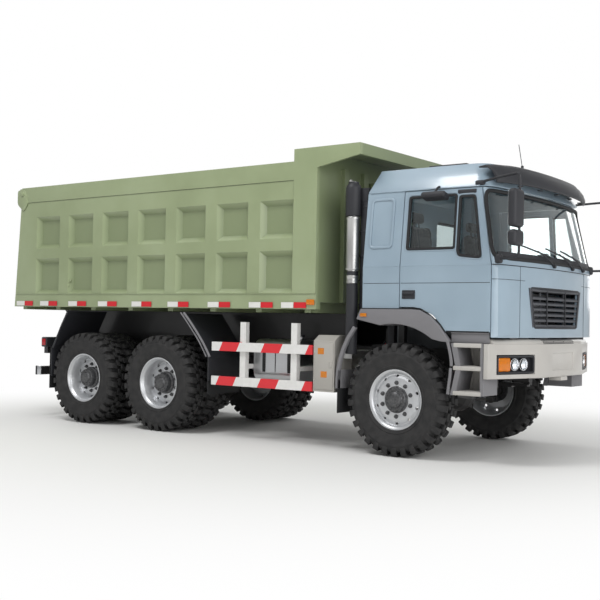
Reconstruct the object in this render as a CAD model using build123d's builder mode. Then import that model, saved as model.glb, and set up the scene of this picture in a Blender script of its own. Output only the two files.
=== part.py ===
from build123d import *
import math
import os

# Six-wheel-drive tipping lorry: cab over engine, two rear axles on twin wheels, ribbed steel bed.
# Millimetres. +X forward, +Y to the left-hand side, +Z up, ground at Z = 0.
# The origin is the middle of the overall length and width, on the ground.

os.makedirs("parts", exist_ok=True)

# ---------------------------------------------------------------- driving dimensions
front_reach = 1365  # front axle to the foremost point, the mirrors
rear_reach = 5870  # front axle to the rearmost point, the bed's lower corner
wheelbase = 3225  # front axle to the first rear axle
bogie_spacing = 1300  # between the two rear axles
front_axle_x = (rear_reach - front_reach) / 2
middle_axle_x = front_axle_x - wheelbase
rear_axle_x = middle_axle_x - bogie_spacing

gap = 8  # clearance round doors and between moving panels
seat_gap = 0.3  # clearance between pieces that rest on each other
running_gap = 0.5  # clearance of a shaft or hub on its seat

# wheels
tyre_radius = 562.5
tyre_width = 315
lug_height = 34
lug_count = 24
lug_taper = 44
bulge_radius = 455
bead_depth = 32
rim_radius = 290
rim_width = 250
rim_sides = 20
axle_z = tyre_radius
front_tyre_y = 1047
outer_tyre_y = 1077
twin_spacing = 346
kingpin_y = 955
hub_radius = 125

# frame
rail_y = 420
rail_width = 80
rail_height = 290
rail_wall = 10
frame_top_z = 1060
frame_front_x = front_axle_x + 1090
frame_rear_x = front_axle_x - 5240

# cab
cab_half_width = 1200
cab_top_half_width = 1115
cab_rear_x = front_axle_x - 386
cab_front_x = front_axle_x + 1190
cab_corner_radius = 160
cab_nose_bulge = 35
belt_z = 1870
eave_z = 2640
roof_z = 2870
cab_floor_z = 1455
cab_sill_z = 1250
cab_nose_z = 1195
windscreen_rake = 165
roof_taper = 130
cab_corner_steps = 6
cab_nose_steps = 8
cab_wall = 55
door_rear_x = front_axle_x + 50
door_front_x = front_axle_x + 1025
cab_pivot_x = front_axle_x + 1150
cab_pivot_z = 1130
tunnel_half_width = 430
tunnel_z = 1640

# bed
bed_front_x = front_axle_x - 940
bed_rear_low_x = front_axle_x - 5870
bed_rear_high_x = front_axle_x - 5760
bed_half_width = 1240
bed_wall = 85
bed_rail_low_z = 1446
bed_rail_top_z = 1612
bed_floor_z = 1560
bed_floor_thick = 40
bed_top_z = 3010
band_low_z = 2812
band_proud = 8
post_width = 305
post_top_z = 3140
bay_count = 7
bay_width = 455
rib_width = 170
bay_depth = 55
canopy_tip_x = front_axle_x - 410
bed_pivot_x = front_axle_x - 5300
bed_pivot_z = 1170
gate_pivot_x = front_axle_x - 5735
gate_pivot_z = 2935


def ahead(distance):
    """X of a point that lies the given distance ahead of the front axle."""
    return front_axle_x + distance


def save(builder, label):
    builder.part.label = label
    export_step(builder.part, "parts/" + label + ".step")


def side_plane(y):
    """Plane seen from the right-hand side: local x is forward, local y is up."""
    return Plane(origin=(0, y, 0), x_dir=(1, 0, 0), z_dir=(0, -1, 0))


# ---------------------------------------------------------------- wheels
def wheel_plane(y):
    return Plane(origin=(0, y, 0), x_dir=(1, 0, 0), z_dir=(0, 1, 0))


flatness = 0.01


def corner_radius(apothem, sides):
    return apothem / math.cos(math.pi / sides)


def flat_stack(sections):
    """Solid with flat faces through polygons that have as many corners, closed at both ends."""
    faces = [Face(Wire.make_polygon(sections[0])), Face(Wire.make_polygon(sections[-1]))]
    for lower, upper in zip(sections[:-1], sections[1:]):
        for corner in range(len(lower)):
            a, b, c, d = lower[corner - 1], lower[corner], upper[corner], upper[corner - 1]
            warp = (b - a).cross(d - a).normalized().dot(c - a)
            if abs(warp) < flatness:
                faces.append(Face(Wire.make_polygon((a, b, c, d))))
            else:
                faces.append(Face(Wire.make_polygon((a, b, c))))
                faces.append(Face(Wire.make_polygon((a, c, d))))
    return Solid(Shell(faces))


def polygon_rings(rings, sides):
    """Stack of polygon frusta about the Y axis, from a list of (y, apothem)."""
    sections = []
    for y, apothem in rings:
        radius = corner_radius(apothem, sides)
        turns = [2 * math.pi * (side + 0.5) / sides for side in range(sides)]
        sections.append([Vector(radius * math.cos(turn), y, radius * math.sin(turn)) for turn in turns])
    return flat_stack(sections)


def tyre():
    """Off-road tyre about the Y axis: bars that taper into the shoulders."""
    half = tyre_width / 2
    base_radius = tyre_radius - lug_height
    sides = 2 * lug_count
    base_side = 2 * base_radius * math.tan(math.pi / sides)
    with BuildPart() as body:
        with BuildSketch(wheel_plane(-half)):
            RegularPolygon(corner_radius(base_radius, sides), sides, rotation=180 / sides + 90)
        extrude(amount=tyre_width)
        with BuildPart(mode=Mode.PRIVATE) as bar:
            with BuildSketch(Plane(origin=(-base_side / 2, 0, 0), x_dir=(0, 1, 0), z_dir=(1, 0, 0))):
                Polygon(
                    (-half, base_radius - 1),
                    (half, base_radius - 1),
                    (half, base_radius),
                    (half - lug_taper, tyre_radius),
                    (lug_taper - half, tyre_radius),
                    (-half, base_radius),
                    align=None,
                )
            extrude(amount=base_side)
        add([bar.part.rotate(Axis.Y, turn * 360 / lug_count) for turn in range(lug_count)])
        bore = rim_radius + seat_gap
        add(polygon_rings([(-half, bore), (half, bore)], rim_sides), mode=Mode.SUBTRACT)
        for side in (-1, 1):
            rings = sorted([(side * half, bulge_radius), (side * (half - bead_depth), bore)])
            add(polygon_rings(rings, rim_sides), mode=Mode.SUBTRACT)
    return body.part


def rim(disc_y, hub_tip_y, hole_count):
    """Rim about the Y axis: barrel, disc at disc_y with hand holes and a hub that ends at hub_tip_y."""
    half = rim_width / 2
    thick = 14
    hole_ring = 215
    with BuildPart() as body:
        add(polygon_rings([(-half, rim_radius), (half, rim_radius)], rim_sides))
        add(polygon_rings([(-half, rim_radius - thick), (half, rim_radius - thick)], rim_sides), mode=Mode.SUBTRACT)
        add(
            polygon_rings(
                [(disc_y - disc_thick / 2, rim_radius - thick), (disc_y + disc_thick / 2, rim_radius - thick)],
                rim_sides,
            )
        )
        add(polygon_rings(sorted([(disc_y, hub_radius), (hub_tip_y, hub_radius * 0.75)]), 12))
        for turn in range(hole_count):
            with BuildSketch(wheel_plane(disc_y - disc_thick)):
                with Locations(Location((0, 0), turn * 360 / hole_count)):
                    with Locations((hole_ring, 0)):
                        RegularPolygon(24, 6)
            extrude(amount=2 * disc_thick, mode=Mode.SUBTRACT)
    return body.part


disc_thick = 16
hand_holes = 10
tyre_shape = tyre()
front_disc_y = 78
front_hub_tip_y = 165
rear_disc_y = -20
rear_hub_tip_y = 110
front_rim = rim(front_disc_y, front_hub_tip_y, hand_holes)
outer_rim = rim(rear_disc_y, rear_hub_tip_y, hand_holes)
inner_rim = rim(-rear_disc_y, -rim_width / 2, 0)

sides = (("left", 1), ("right", -1))
for side_name, side in sides:
    mirrored = side < 0
    shape = front_rim.mirror(Plane.XZ) if mirrored else front_rim
    with BuildPart() as front_tyre:
        add(tyre_shape.moved(Location((front_axle_x, side * front_tyre_y, axle_z))))
    save(front_tyre, "tyre_front_" + side_name)
    with BuildPart() as front_wheel:
        add(shape.moved(Location((front_axle_x, side * front_tyre_y, axle_z))))
    save(front_wheel, "rim_front_" + side_name)
    inner_tyre_y = outer_tyre_y - twin_spacing
    for axle_name, axle_x in (("middle", middle_axle_x), ("rear", rear_axle_x)):
        with BuildPart() as twin_tyres:
            for y in (inner_tyre_y, outer_tyre_y):
                add(tyre_shape.moved(Location((axle_x, side * y, axle_z))))
        save(twin_tyres, "tyres_" + axle_name + "_" + side_name)
        outer = outer_rim.mirror(Plane.XZ) if mirrored else outer_rim
        inner = inner_rim.mirror(Plane.XZ) if mirrored else inner_rim
        with BuildPart() as twin_rims:
            add(outer.moved(Location((axle_x, side * outer_tyre_y, axle_z))))
            add(inner.moved(Location((axle_x, side * inner_tyre_y, axle_z))))
            drum_low_y = inner_tyre_y + 20
            drum_high_y = outer_tyre_y - 20
            drum = polygon_rings([(side * drum_low_y, 170), (side * drum_high_y, 170)], 16)
            add(drum.moved(Location((axle_x, 0, axle_z))))
        save(twin_rims, "rims_" + axle_name + "_" + side_name)

# ---------------------------------------------------------------- axles and steering
axle_tube = 70
kingpin_radius = 22
knuckle_inner_y = kingpin_y - 60
arm_pin_x = front_axle_x - 205
arm_pin_y = kingpin_y - 105
tie_rod_z = 395
arm_z = 440
arm_pin_radius = 13
for side_name, side in sides:
    with BuildPart() as knuckle:
        for up in (-1, 1):
            with Locations((front_axle_x, side * kingpin_y, axle_z + up * 105)):
                Box(90, 76, 60)
        with Locations((front_axle_x, side * (kingpin_y + 61), axle_z)):
            Box(110, 46, 270)
        with BuildSketch(wheel_plane(side * (kingpin_y + 84))):
            with Locations((front_axle_x, -axle_z)):
                RegularPolygon(85, 12)
        spindle_end_y = front_tyre_y + front_disc_y - disc_thick / 2 - running_gap
        extrude(amount=side * (spindle_end_y - kingpin_y - 84))
        with BuildSketch(Plane.XY.offset(arm_z)):
            Polygon(
                (front_axle_x - 30, side * (kingpin_y + 30)),
                (front_axle_x - 30, side * (kingpin_y - 30)),
                (arm_pin_x - 30, side * (arm_pin_y - 25)),
                (arm_pin_x - 30, side * (arm_pin_y + 30)),
                align=None,
            )
        extrude(amount=30)
        with Locations((arm_pin_x, side * arm_pin_y, arm_z)):
            Cylinder(arm_pin_radius + running_gap, 100, mode=Mode.SUBTRACT)
        with Locations((front_axle_x, side * kingpin_y, axle_z)):
            Cylinder(kingpin_radius + 1, 340, mode=Mode.SUBTRACT)
    save(knuckle, "knuckle_" + side_name)

with BuildPart() as tie_rod:
    with BuildSketch(wheel_plane(-arm_pin_y)):
        with Locations((arm_pin_x, -tie_rod_z)):
            RegularPolygon(24, 8)
    extrude(amount=2 * arm_pin_y)
    for side in (-1, 1):
        with Locations((arm_pin_x, side * arm_pin_y, tie_rod_z)):
            Cylinder(32, 76)
    # the left eye's pin goes up into its arm
    with Locations((arm_pin_x, arm_pin_y, tie_rod_z)):
        Cylinder(arm_pin_radius, 80, align=(Align.CENTER, Align.CENTER, Align.MIN))
save(tie_rod, "tie_rod")

diff_radius = 215
nose_length = 240
nose_rise = 60
front_diff_radius = 185
front_diff_y = 150


def differential(radius):
    """Bowl-shaped housing about the Y axis."""
    rings = (
        # share of the radius: place along the axle, size across it
        (-1.0, 0.5),
        (-0.6, 0.87),
        (-0.2, 1.0),
        (0.2, 1.0),
        (0.6, 0.87),
        (1.0, 0.5),
    )
    return polygon_rings([(place * radius, size * radius) for place, size in rings], 12)


with BuildPart() as axles:
    for axle_x in (middle_axle_x, rear_axle_x):
        inner_face = outer_tyre_y - twin_spacing - rim_width / 2 - running_gap
        with BuildSketch(wheel_plane(-inner_face)):
            with Locations((axle_x, -axle_z)):
                RegularPolygon(90, 12)
        extrude(amount=2 * inner_face)
        add(differential(diff_radius).moved(Location((axle_x, 0, axle_z))))
        for way in (-1, 1):
            with BuildSketch(Plane(origin=(axle_x, 0, axle_z + nose_rise), x_dir=(0, 1, 0), z_dir=(way, 0, 0))):
                RegularPolygon(75, 8)
            extrude(amount=nose_length)
    with BuildSketch(wheel_plane(-knuckle_inner_y + 15)):
        with Locations((front_axle_x, -axle_z)):
            RegularPolygon(axle_tube, 12)
    extrude(amount=2 * knuckle_inner_y - 30)
    add(differential(front_diff_radius).moved(Location((front_axle_x, front_diff_y, axle_z))))
    for side in (-1, 1):
        with Locations((front_axle_x, side * kingpin_y, axle_z)):
            Cylinder(kingpin_radius, 290)
            Box(50, 44, 120)
        with Locations((front_axle_x, side * (knuckle_inner_y + 5), axle_z)):
            Box(90, 80, 136)
save(axles, "axles")

# ---------------------------------------------------------------- frame
member_x = [ahead(1010), ahead(-2050), ahead(-2900), ahead(-3875), ahead(-4850), frame_rear_x + 60]
member_size = 110
frame_low_z = frame_top_z - rail_height
with BuildPart() as frame_rails:
    for side in (-1, 1):
        with BuildSketch(Plane(origin=(frame_rear_x, 0, 0), x_dir=(0, 1, 0), z_dir=(1, 0, 0))):
            with Locations((side * rail_y, frame_top_z - rail_height / 2)):
                Rectangle(rail_width, rail_height)
                with Locations((-side * rail_wall, 0)):
                    Rectangle(rail_width, rail_height - 2 * rail_wall, mode=Mode.SUBTRACT)
        extrude(amount=frame_front_x - frame_rear_x)
    # rear support for the cab
    for side in (-1, 1):
        with Locations((ahead(-330), side * (rail_y + rail_width / 2 + 30), frame_low_z)):
            Box(70, 60, cab_floor_z - seat_gap - frame_low_z, align=(Align.CENTER, Align.CENTER, Align.MIN))
save(frame_rails, "frame_rails")

with BuildPart() as cross_members:
    for x in member_x:
        with Locations((x, 0, frame_top_z - rail_height / 2)):
            Box(member_size, 2 * (rail_y + rail_width / 2 - rail_wall), rail_height - 4 * rail_wall)
save(cross_members, "cross_members")

# ---------------------------------------------------------------- power unit and drive line
engine_front_x = ahead(560)
engine_rear_x = ahead(-540)
engine_half_width = 330
engine_low_z = 800
engine_top_z = 1370
with BuildPart() as engine:
    with BuildSketch(Plane(origin=(engine_rear_x, 0, 0), x_dir=(0, 1, 0), z_dir=(1, 0, 0))):
        Polygon(
            (-engine_half_width * 0.6, engine_low_z),
            (engine_half_width * 0.6, engine_low_z),
            (engine_half_width, engine_low_z + 200),
            (engine_half_width, engine_top_z - 120),
            (engine_half_width * 0.6, engine_top_z),
            (-engine_half_width * 0.6, engine_top_z),
            (-engine_half_width, engine_top_z - 120),
            (-engine_half_width, engine_low_z + 200),
            align=None,
        )
    extrude(amount=engine_front_x - engine_rear_x)
    for side in (-1, 1):
        for x in (engine_front_x - 200, engine_rear_x + 200):
            with Locations((x, side * (engine_half_width - 10), frame_top_z - 60)):
                Box(90, 2 * (rail_y - rail_width / 2 - seat_gap - engine_half_width + 10), 70)
save(engine, "engine")

radiator_thick = 90
radiator_front_x = ahead(930)
radiator_half_width = 370
rail_web_y = rail_y + rail_width / 2 - rail_wall - seat_gap
with BuildPart() as radiator:
    with Locations((radiator_front_x - radiator_thick / 2, 0, 1150)):
        Box(radiator_thick, 2 * radiator_half_width, 640)
        for up in (-1, 1):
            with Locations((0, 0, up * 350)):
                Box(radiator_thick - 20, 2 * radiator_half_width - 40, 60)
    for side in (-1, 1):
        with Locations((radiator_front_x - radiator_thick / 2, side * (radiator_half_width + rail_web_y) / 2, 880)):
            Box(60, rail_web_y - radiator_half_width, 120)
save(radiator, "radiator")

transfer_x = ahead(-1500)
shaft_radius = 48
with BuildPart() as driveline:
    with BuildSketch(Plane(origin=(engine_rear_x - seat_gap, 0, 870), x_dir=(0, 1, 0), z_dir=(-1, 0, 0))):
        RegularPolygon(185, 8, rotation=22.5)
    with BuildSketch(Plane(origin=(engine_rear_x - 420, 0, 880), x_dir=(0, 1, 0), z_dir=(-1, 0, 0))):
        RegularPolygon(130, 8, rotation=22.5)
    loft(ruled=True)
    with Locations((transfer_x, 0, 800)):
        Box(330, 420, 480)
    shaft_runs = (
        # start x, start z, end x, end z
        (engine_rear_x - 420, 880, transfer_x + 165, 880),
        (transfer_x - 165, axle_z + nose_rise, middle_axle_x + nose_length + seat_gap, axle_z + nose_rise),
        (middle_axle_x - nose_length - seat_gap, axle_z + nose_rise, rear_axle_x + nose_length + seat_gap, axle_z + nose_rise),
    )
    for start_x, start_z, end_x, end_z in shaft_runs:
        start = Vector(start_x, 0, start_z)
        end = Vector(end_x, 0, end_z)
        with BuildSketch(Plane(origin=start, x_dir=(0, 1, 0), z_dir=end - start)):
            RegularPolygon(shaft_radius, 8)
        extrude(amount=(end - start).length)
save(driveline, "driveline")

# ---------------------------------------------------------------- springs
front_spring_y = 420
spring_low_z = axle_z + axle_tube + seat_gap
spring_leaf = 16
rear_spring_y = 480
trunnion_x = (middle_axle_x + rear_axle_x) / 2
with BuildPart() as leaf_springs:
    # front packs: leaves that get shorter towards the axle
    for side in (-1, 1):
        for leaf, half_length in enumerate((330, 520, 700, 720)):
            with Locations((front_axle_x, side * front_spring_y, spring_low_z + spring_leaf * (leaf + 0.5))):
                Box(2 * half_length, 76, spring_leaf)
        for end in (-1, 1):
            with Locations((front_axle_x + end * 690, side * front_spring_y, 0)):
                hanger_low = spring_low_z + 4 * spring_leaf
                hanger_high = frame_low_z - seat_gap
                with Locations((0, 0, (hanger_low + hanger_high) / 2)):
                    Box(70, 70, hanger_high - hanger_low)
    # bogie packs: inverted springs that rock on a trunnion under the frame
    bogie_low_z = axle_z + 90 + seat_gap
    for side in (-1, 1):
        for leaf in range(7):
            half_length = bogie_spacing / 2 + 60 - 70 * leaf
            with Locations((trunnion_x, side * rear_spring_y, bogie_low_z + spring_leaf * (leaf + 0.5))):
                Box(2 * half_length, 80, spring_leaf)
        with Locations((trunnion_x, side * rear_spring_y, bogie_low_z + 60)):
            Box(150, 100, 110)
        with Locations((trunnion_x, side * (rail_y + rail_width / 2 + seat_gap + 12), (bogie_low_z + frame_top_z) / 2)):
            Box(240, 24, frame_top_z - bogie_low_z - 60)
save(leaf_springs, "leaf_springs")

# ---------------------------------------------------------------- front end
bumper_front_x = ahead(1250)
bumper_side_x = ahead(1030)
bumper_tail_x = ahead(985)
bumper_flat_half = 500
bumper_half_width = 1245
bumper_low_z = 815
bumper_top_z = 1140
bumper_wall = 60
tow_eye_x = ahead(1230)
tow_eye_radius = 20
lamp_low_z = 855
lamp_top_z = 1040
lamp_inner_y = 610
lamp_outer_y = 1130


def bumper_outline(inset):
    """Half plan of the bumper's outer face, moved inwards by inset."""
    return (
        (bumper_front_x - inset, 0),
        (bumper_front_x - inset, bumper_flat_half),
        (bumper_side_x - inset * 1.2, bumper_half_width - inset * 0.4),
        (bumper_tail_x, bumper_half_width - inset * 0.4),
        (bumper_tail_x, 0),
    )


with BuildPart() as bumper:
    with BuildSketch(Plane.XY.offset(bumper_low_z)):
        Polygon(*bumper_outline(0), align=None)
        Polygon(*bumper_outline(bumper_wall), align=None, mode=Mode.SUBTRACT)
        mirror(about=Plane.XZ)
    extrude(amount=bumper_top_z - bumper_low_z)
    # pockets for the lamp units in the angled ends
    for side in (-1, 1):
        with Locations((ahead(1100), side * (lamp_inner_y + lamp_outer_y) / 2, (lamp_low_z + lamp_top_z) / 2)):
            Box(500, lamp_outer_y - lamp_inner_y, lamp_top_z - lamp_low_z, mode=Mode.SUBTRACT)
    # brackets to the frame
    for side in (-1, 1):
        bracket_front_x = bumper_front_x - bumper_wall
        bracket_rear_x = frame_front_x + seat_gap
        with Locations(((bracket_front_x + bracket_rear_x) / 2, side * rail_y, 930)):
            Box(bracket_front_x - bracket_rear_x, rail_width - 10, 180)
    # number plate recess, left bare, between two slots
    with Locations((bumper_front_x, 0, 965)):
        Box(16, 520, 170, mode=Mode.SUBTRACT)
    # towing eye under the middle, held by a drop plate
    with Locations((ahead(1200), 0, bumper_low_z - 20)):
        Box(130, 160, 40)
        Box(30, 160, 90, align=(Align.CENTER, Align.CENTER, Align.MIN))
    with Locations((tow_eye_x, 0, bumper_low_z - 20)):
        Cylinder(tow_eye_radius, 60, mode=Mode.SUBTRACT)
save(bumper, "bumper")


def lamp_plane(side, inset):
    """Plane on the angled face of the bumper, moved inwards by inset, local y up."""
    run = Vector(bumper_side_x - bumper_front_x, side * (bumper_half_width - bumper_flat_half), 0).normalized()
    normal = Vector(0, 0, 1).cross(run) * -side
    middle_y = (lamp_inner_y + lamp_outer_y) / 2
    along = (middle_y - bumper_flat_half) / (bumper_half_width - bumper_flat_half)
    x = bumper_front_x + (bumper_side_x - bumper_front_x) * along
    return Plane(origin=Vector(x, side * middle_y, (lamp_low_z + lamp_top_z) / 2) - normal * inset, x_dir=run, z_dir=normal)


slope = math.hypot(bumper_front_x - bumper_side_x, bumper_half_width - bumper_flat_half)
slope /= bumper_half_width - bumper_flat_half
lamp_length = (lamp_outer_y - lamp_inner_y) * slope
with BuildPart() as headlamps:
    for side in (-1, 1):
        with BuildSketch(lamp_plane(side, 50)):
            Rectangle(lamp_length - 60, lamp_top_z - lamp_low_z - 2 * seat_gap)
        extrude(amount=30)
        for along in (-130, 20):
            with BuildSketch(lamp_plane(side, 20)):
                with Locations((along, 0)):
                    RegularPolygon(72, 12)
            extrude(amount=14)
        with BuildSketch(lamp_plane(side, 20)):
            with Locations((165, 0)):
                Rectangle(110, 150)
        extrude(amount=14)
        # carrier behind the lamps
        with BuildSketch(lamp_plane(side, 50)):
            Rectangle(40, 80)
        extrude(amount=-25)
save(headlamps, "headlamps")

step_front_x = bumper_tail_x - gap
step_rear_x = ahead(640)
step_outer_y = 1235
step_inner_y = 930
step_levels = (1140, 925, 690)
with BuildPart() as steps:
    for side in (-1, 1):
        # rear panel that carries on the wheel arch
        with BuildSketch(side_plane(side * step_outer_y)):
            Polygon(
                (step_rear_x, step_levels[0]),
                (step_rear_x + 55, 900),
                (step_rear_x, 650),
                (step_rear_x + 50, 650),
                (step_rear_x + 110, 900),
                (step_rear_x + 60, step_levels[0]),
                align=None,
            )
        extrude(amount=-(step_outer_y - step_inner_y) * -side)
        for level in step_levels:
            with Locations(((step_front_x + step_rear_x) / 2 + 30, side * (step_outer_y + step_inner_y) / 2, level - 18)):
                Box(step_front_x - step_rear_x - 60, step_outer_y - step_inner_y, 36)
        with Locations((step_front_x - 15, side * (step_outer_y + step_inner_y) / 2, (step_levels[0] + 660) / 2)):
            Box(30, step_outer_y - step_inner_y, step_levels[0] - 660)
        # back plate and arm to the frame
        with Locations(((step_front_x + step_rear_x) / 2 + 40, side * (step_inner_y + 8), 900)):
            Box(step_front_x - step_rear_x - 80, 16, 440)
        arm_inner_y = rail_y + rail_width / 2 + seat_gap
        with Locations((ahead(870), side * (arm_inner_y + step_inner_y) / 2, 880)):
            Box(70, step_inner_y - arm_inner_y, 70)
save(steps, "steps")

# ---------------------------------------------------------------- sides of the frame
guard_y = 1215
guard_rear_x = ahead(-2385)
guard_front_x = ahead(-985)
guard_top_z = 1022
guard_low_z = 640
guard_bar = 100
guard_post_x = (ahead(-1960), ahead(-1255))
guard_post_top_z = 1298
bracket_y = rail_y + rail_width / 2 + seat_gap
with BuildPart() as side_guards:
    for side in (-1, 1):
        for z, length_front in ((guard_top_z, guard_front_x), (guard_low_z, guard_front_x)):
            with Locations(((guard_rear_x + length_front) / 2, side * (guard_y - 18), z)):
                Box(length_front - guard_rear_x, 36, guard_bar)
        for x in guard_post_x:
            with Locations((x, side * (guard_y - 36 - 30), (guard_post_top_z + guard_low_z - 50) / 2)):
                Box(80, 60, guard_post_top_z - guard_low_z + 50)
            with Locations((x, side * (guard_y - 96 + bracket_y) / 2, frame_low_z + 40)):
                Box(60, guard_y - 96 - bracket_y, 50)
save(side_guards, "side_guards")

tank_rear_x = ahead(-1925)
tank_front_x = ahead(-1330)
tank_y = 790
tank_size = 470
tank_z = 880
with BuildPart() as fuel_tank:
    with BuildSketch(Plane(origin=(tank_rear_x, 0, 0), x_dir=(0, 1, 0), z_dir=(1, 0, 0))):
        with Locations((-tank_y, tank_z)):
            RectangleRounded(tank_size, tank_size, 120)
    extrude(amount=tank_front_x - tank_rear_x)
    with Locations((ahead(-1460), -tank_y, tank_z + tank_size / 2)):
        Cylinder(45, 70)
    for x in (tank_rear_x + 150, tank_front_x - 150):
        with Locations((x, -(tank_y - tank_size / 2 + bracket_y) / 2, tank_z)):
            Box(60, tank_y - tank_size / 2 - bracket_y, 80)
save(fuel_tank, "fuel_tank")

air_tank_radius = 125
with BuildPart() as air_tanks:
    # one tank behind the fuel tank, two along the left-hand rail
    tank_places = (
        # rear x, front x, side, z
        (ahead(-1205), ahead(-1010), -1, 900),
        (ahead(-1900), ahead(-1320), 1, 905),
        (ahead(-1205), ahead(-1010), 1, 905),
    )
    for rear_x, front_x, side, z in tank_places:
        with BuildSketch(Plane(origin=(rear_x, side * 780, z), x_dir=(0, 1, 0), z_dir=(1, 0, 0))):
            Circle(air_tank_radius)
        extrude(amount=front_x - rear_x)
        with Locations(((rear_x + front_x) / 2, side * (780 - air_tank_radius / 2 + bracket_y) / 2, z)):
            Box(60, 780 - air_tank_radius / 2 - bracket_y, 60)
save(air_tanks, "air_tanks")

box_rear_x = ahead(-965)
box_front_x = ahead(-700)
box_low_z = 595
box_top_z = 1120
box_outer_y = 1222
box_inner_y = 900
with BuildPart() as side_boxes:
    for side in (-1, 1):
        with BuildSketch(Plane(origin=(box_rear_x, 0, 0), x_dir=(0, 1, 0), z_dir=(1, 0, 0))):
            Polygon(
                (side * box_inner_y, box_low_z),
                (side * box_outer_y, box_low_z),
                (side * box_outer_y, box_top_z),
                (side * (box_outer_y - 90), box_top_z + 60),
                (side * box_inner_y, box_top_z + 60),
                align=None,
            )
        extrude(amount=box_front_x - box_rear_x)
        with Locations(((box_rear_x + box_front_x) / 2, side * (box_inner_y + bracket_y) / 2, frame_low_z + 5)):
            Box(90, box_inner_y - bracket_y, 60)
save(side_boxes, "side_boxes")

stack_x = ahead(-560)
stack_y = -1130
stack_radius = 55
muffler_rear_x = ahead(-930)
muffler_front_x = ahead(-600)
muffler_y = 680
muffler_z = 920
muffler_radius = 110
with BuildPart() as exhaust_stack:
    with Locations((stack_x, stack_y, (1000 + 2400) / 2)):
        Cylinder(stack_radius, 1400)
    with Locations((stack_x, stack_y, 2580)):
        Cylinder(stack_radius - 8, 360)
    # muffler beside the frame, with a cross pipe to the stack
    with BuildSketch(Plane(origin=(muffler_rear_x, -muffler_y, muffler_z), x_dir=(0, 1, 0), z_dir=(1, 0, 0))):
        Circle(muffler_radius)
    extrude(amount=muffler_front_x - muffler_rear_x)
    with Locations(((muffler_front_x + stack_x) / 2 - 20, -(muffler_y - 30 - stack_y) / 2, 985)):
        Box(muffler_front_x - stack_x - 20 + 160, -stack_y - muffler_y + 30, 80)
    with Locations((muffler_rear_x + 60, -(muffler_y - muffler_radius / 2 + bracket_y) / 2, muffler_z)):
        Box(70, muffler_y - muffler_radius / 2 - bracket_y, 80)
save(exhaust_stack, "exhaust_stack")

intake_x = ahead(-455)
with BuildPart() as air_intake:
    with Locations((intake_x, -1010, 2020)):
        Box(90, 130, 1200)
    with Locations((intake_x, -1010, 2640)):
        Box(110, 170, 110)
    with Locations((intake_x, -750, 1390)):
        Box(90, 650, 120)
    with Locations((intake_x, -(bracket_y + 34), 1200)):
        Box(80, 68, 400)
save(air_intake, "air_intake")

# ---------------------------------------------------------------- rear of the frame
guard_plate = 12
plate_inner_y = 560
plate_outer_y = 1232
with BuildPart() as mudguards:
    for side in (-1, 1):
        plates = (
            # profile of each plate as seen from the side: x, z
            ((-4821, 1395), (-5105, 916), (-5105, 560)),
            ((-2812, 1385), (-2412, 886), (-2412, 633)),
        )
        for profile in plates:
            upper = [(ahead(x), z) for x, z in profile]
            lower = [(x - guard_plate, z - guard_plate * 0.3) for x, z in reversed(upper)]
            with BuildSketch(side_plane(side * plate_outer_y)):
                Polygon(*upper, *lower, align=None)
            extrude(amount=side * (plate_outer_y - plate_inner_y))
        # arms to the frame
        for x, z in ((-5085, 880), (-2430, 880)):
            with Locations((ahead(x), side * (bracket_y + plate_inner_y) / 2 + side * 30, z)):
                Box(50, plate_inner_y - bracket_y + 60, 40)
save(mudguards, "mudguards")

bar_z = 610
bar_x = ahead(-5500)
bar_half = 1120
with BuildPart() as rear_bar:
    with Locations((bar_x, 0, bar_z)):
        Box(90, 2 * bar_half, 110)
    for side in (-1, 1):
        with BuildSketch(side_plane(side * rail_y + 20)):
            Polygon(
                (frame_rear_x - seat_gap, frame_top_z - 60),
                (frame_rear_x - seat_gap, frame_low_z),
                (bar_x + 40, bar_z - 40),
                (bar_x - 40, bar_z + 20),
                (bar_x - 40, bar_z + 120),
                align=None,
            )
        extrude(amount=40)
        # lamp housings
        with Locations((bar_x + 20, side * 820, 900)):
            Box(70, 400, 130)
            with Locations((0, side * 60, -150)):
                Box(30, 40, 220)
save(rear_bar, "rear_bar")

# ---------------------------------------------------------------- hoist
hoist_x = ahead(-655)
hoist_low_z = 1190
hoist_eye_x = ahead(-700)
hoist_eye_z = 2780
hoist_radii = (95, 80, 65, 50)
hoist_wall = 9
gland_length = 50
gland_gap = 0.8
hoist_foot = 40
hoist_pin_radius = 25
hoist_length = math.hypot(hoist_eye_x - hoist_x, hoist_eye_z - hoist_low_z)
hoist_lean = Vector(hoist_eye_x - hoist_x, 0, hoist_eye_z - hoist_low_z).normalized()


def hoist_plane(along):
    """Plane across the hoist at a distance along it from its lower pin."""
    return Plane(origin=Vector(hoist_x, 0, hoist_low_z) + hoist_lean * along, x_dir=(0, 1, 0), z_dir=hoist_lean)


def hoist_gland(stage, top):
    """Guide ring in the mouth of a tube, close round the next stage."""
    with BuildSketch(hoist_plane(top - gland_length)) as ring:
        Circle(hoist_radii[stage] - hoist_wall / 2)
        Circle(hoist_radii[stage + 1] + gland_gap, mode=Mode.SUBTRACT)
    extrude(ring.sketch, amount=gland_length)


hoist_end = hoist_length - 70
with BuildPart() as hoist_tube:
    with BuildSketch(hoist_plane(-hoist_foot)):
        Circle(hoist_radii[0])
    extrude(amount=hoist_end - 90 + hoist_foot)
    with BuildSketch(hoist_plane(60)):
        Circle(hoist_radii[0] - hoist_wall)
    extrude(amount=hoist_end, mode=Mode.SUBTRACT)
    hoist_gland(0, hoist_end - 90)
    # trunnion bores
    with Locations((hoist_x, 0, hoist_low_z)):
        Cylinder(hoist_pin_radius + 1, 400, rotation=(90, 0, 0), mode=Mode.SUBTRACT)
save(hoist_tube, "hoist_tube")

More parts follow.
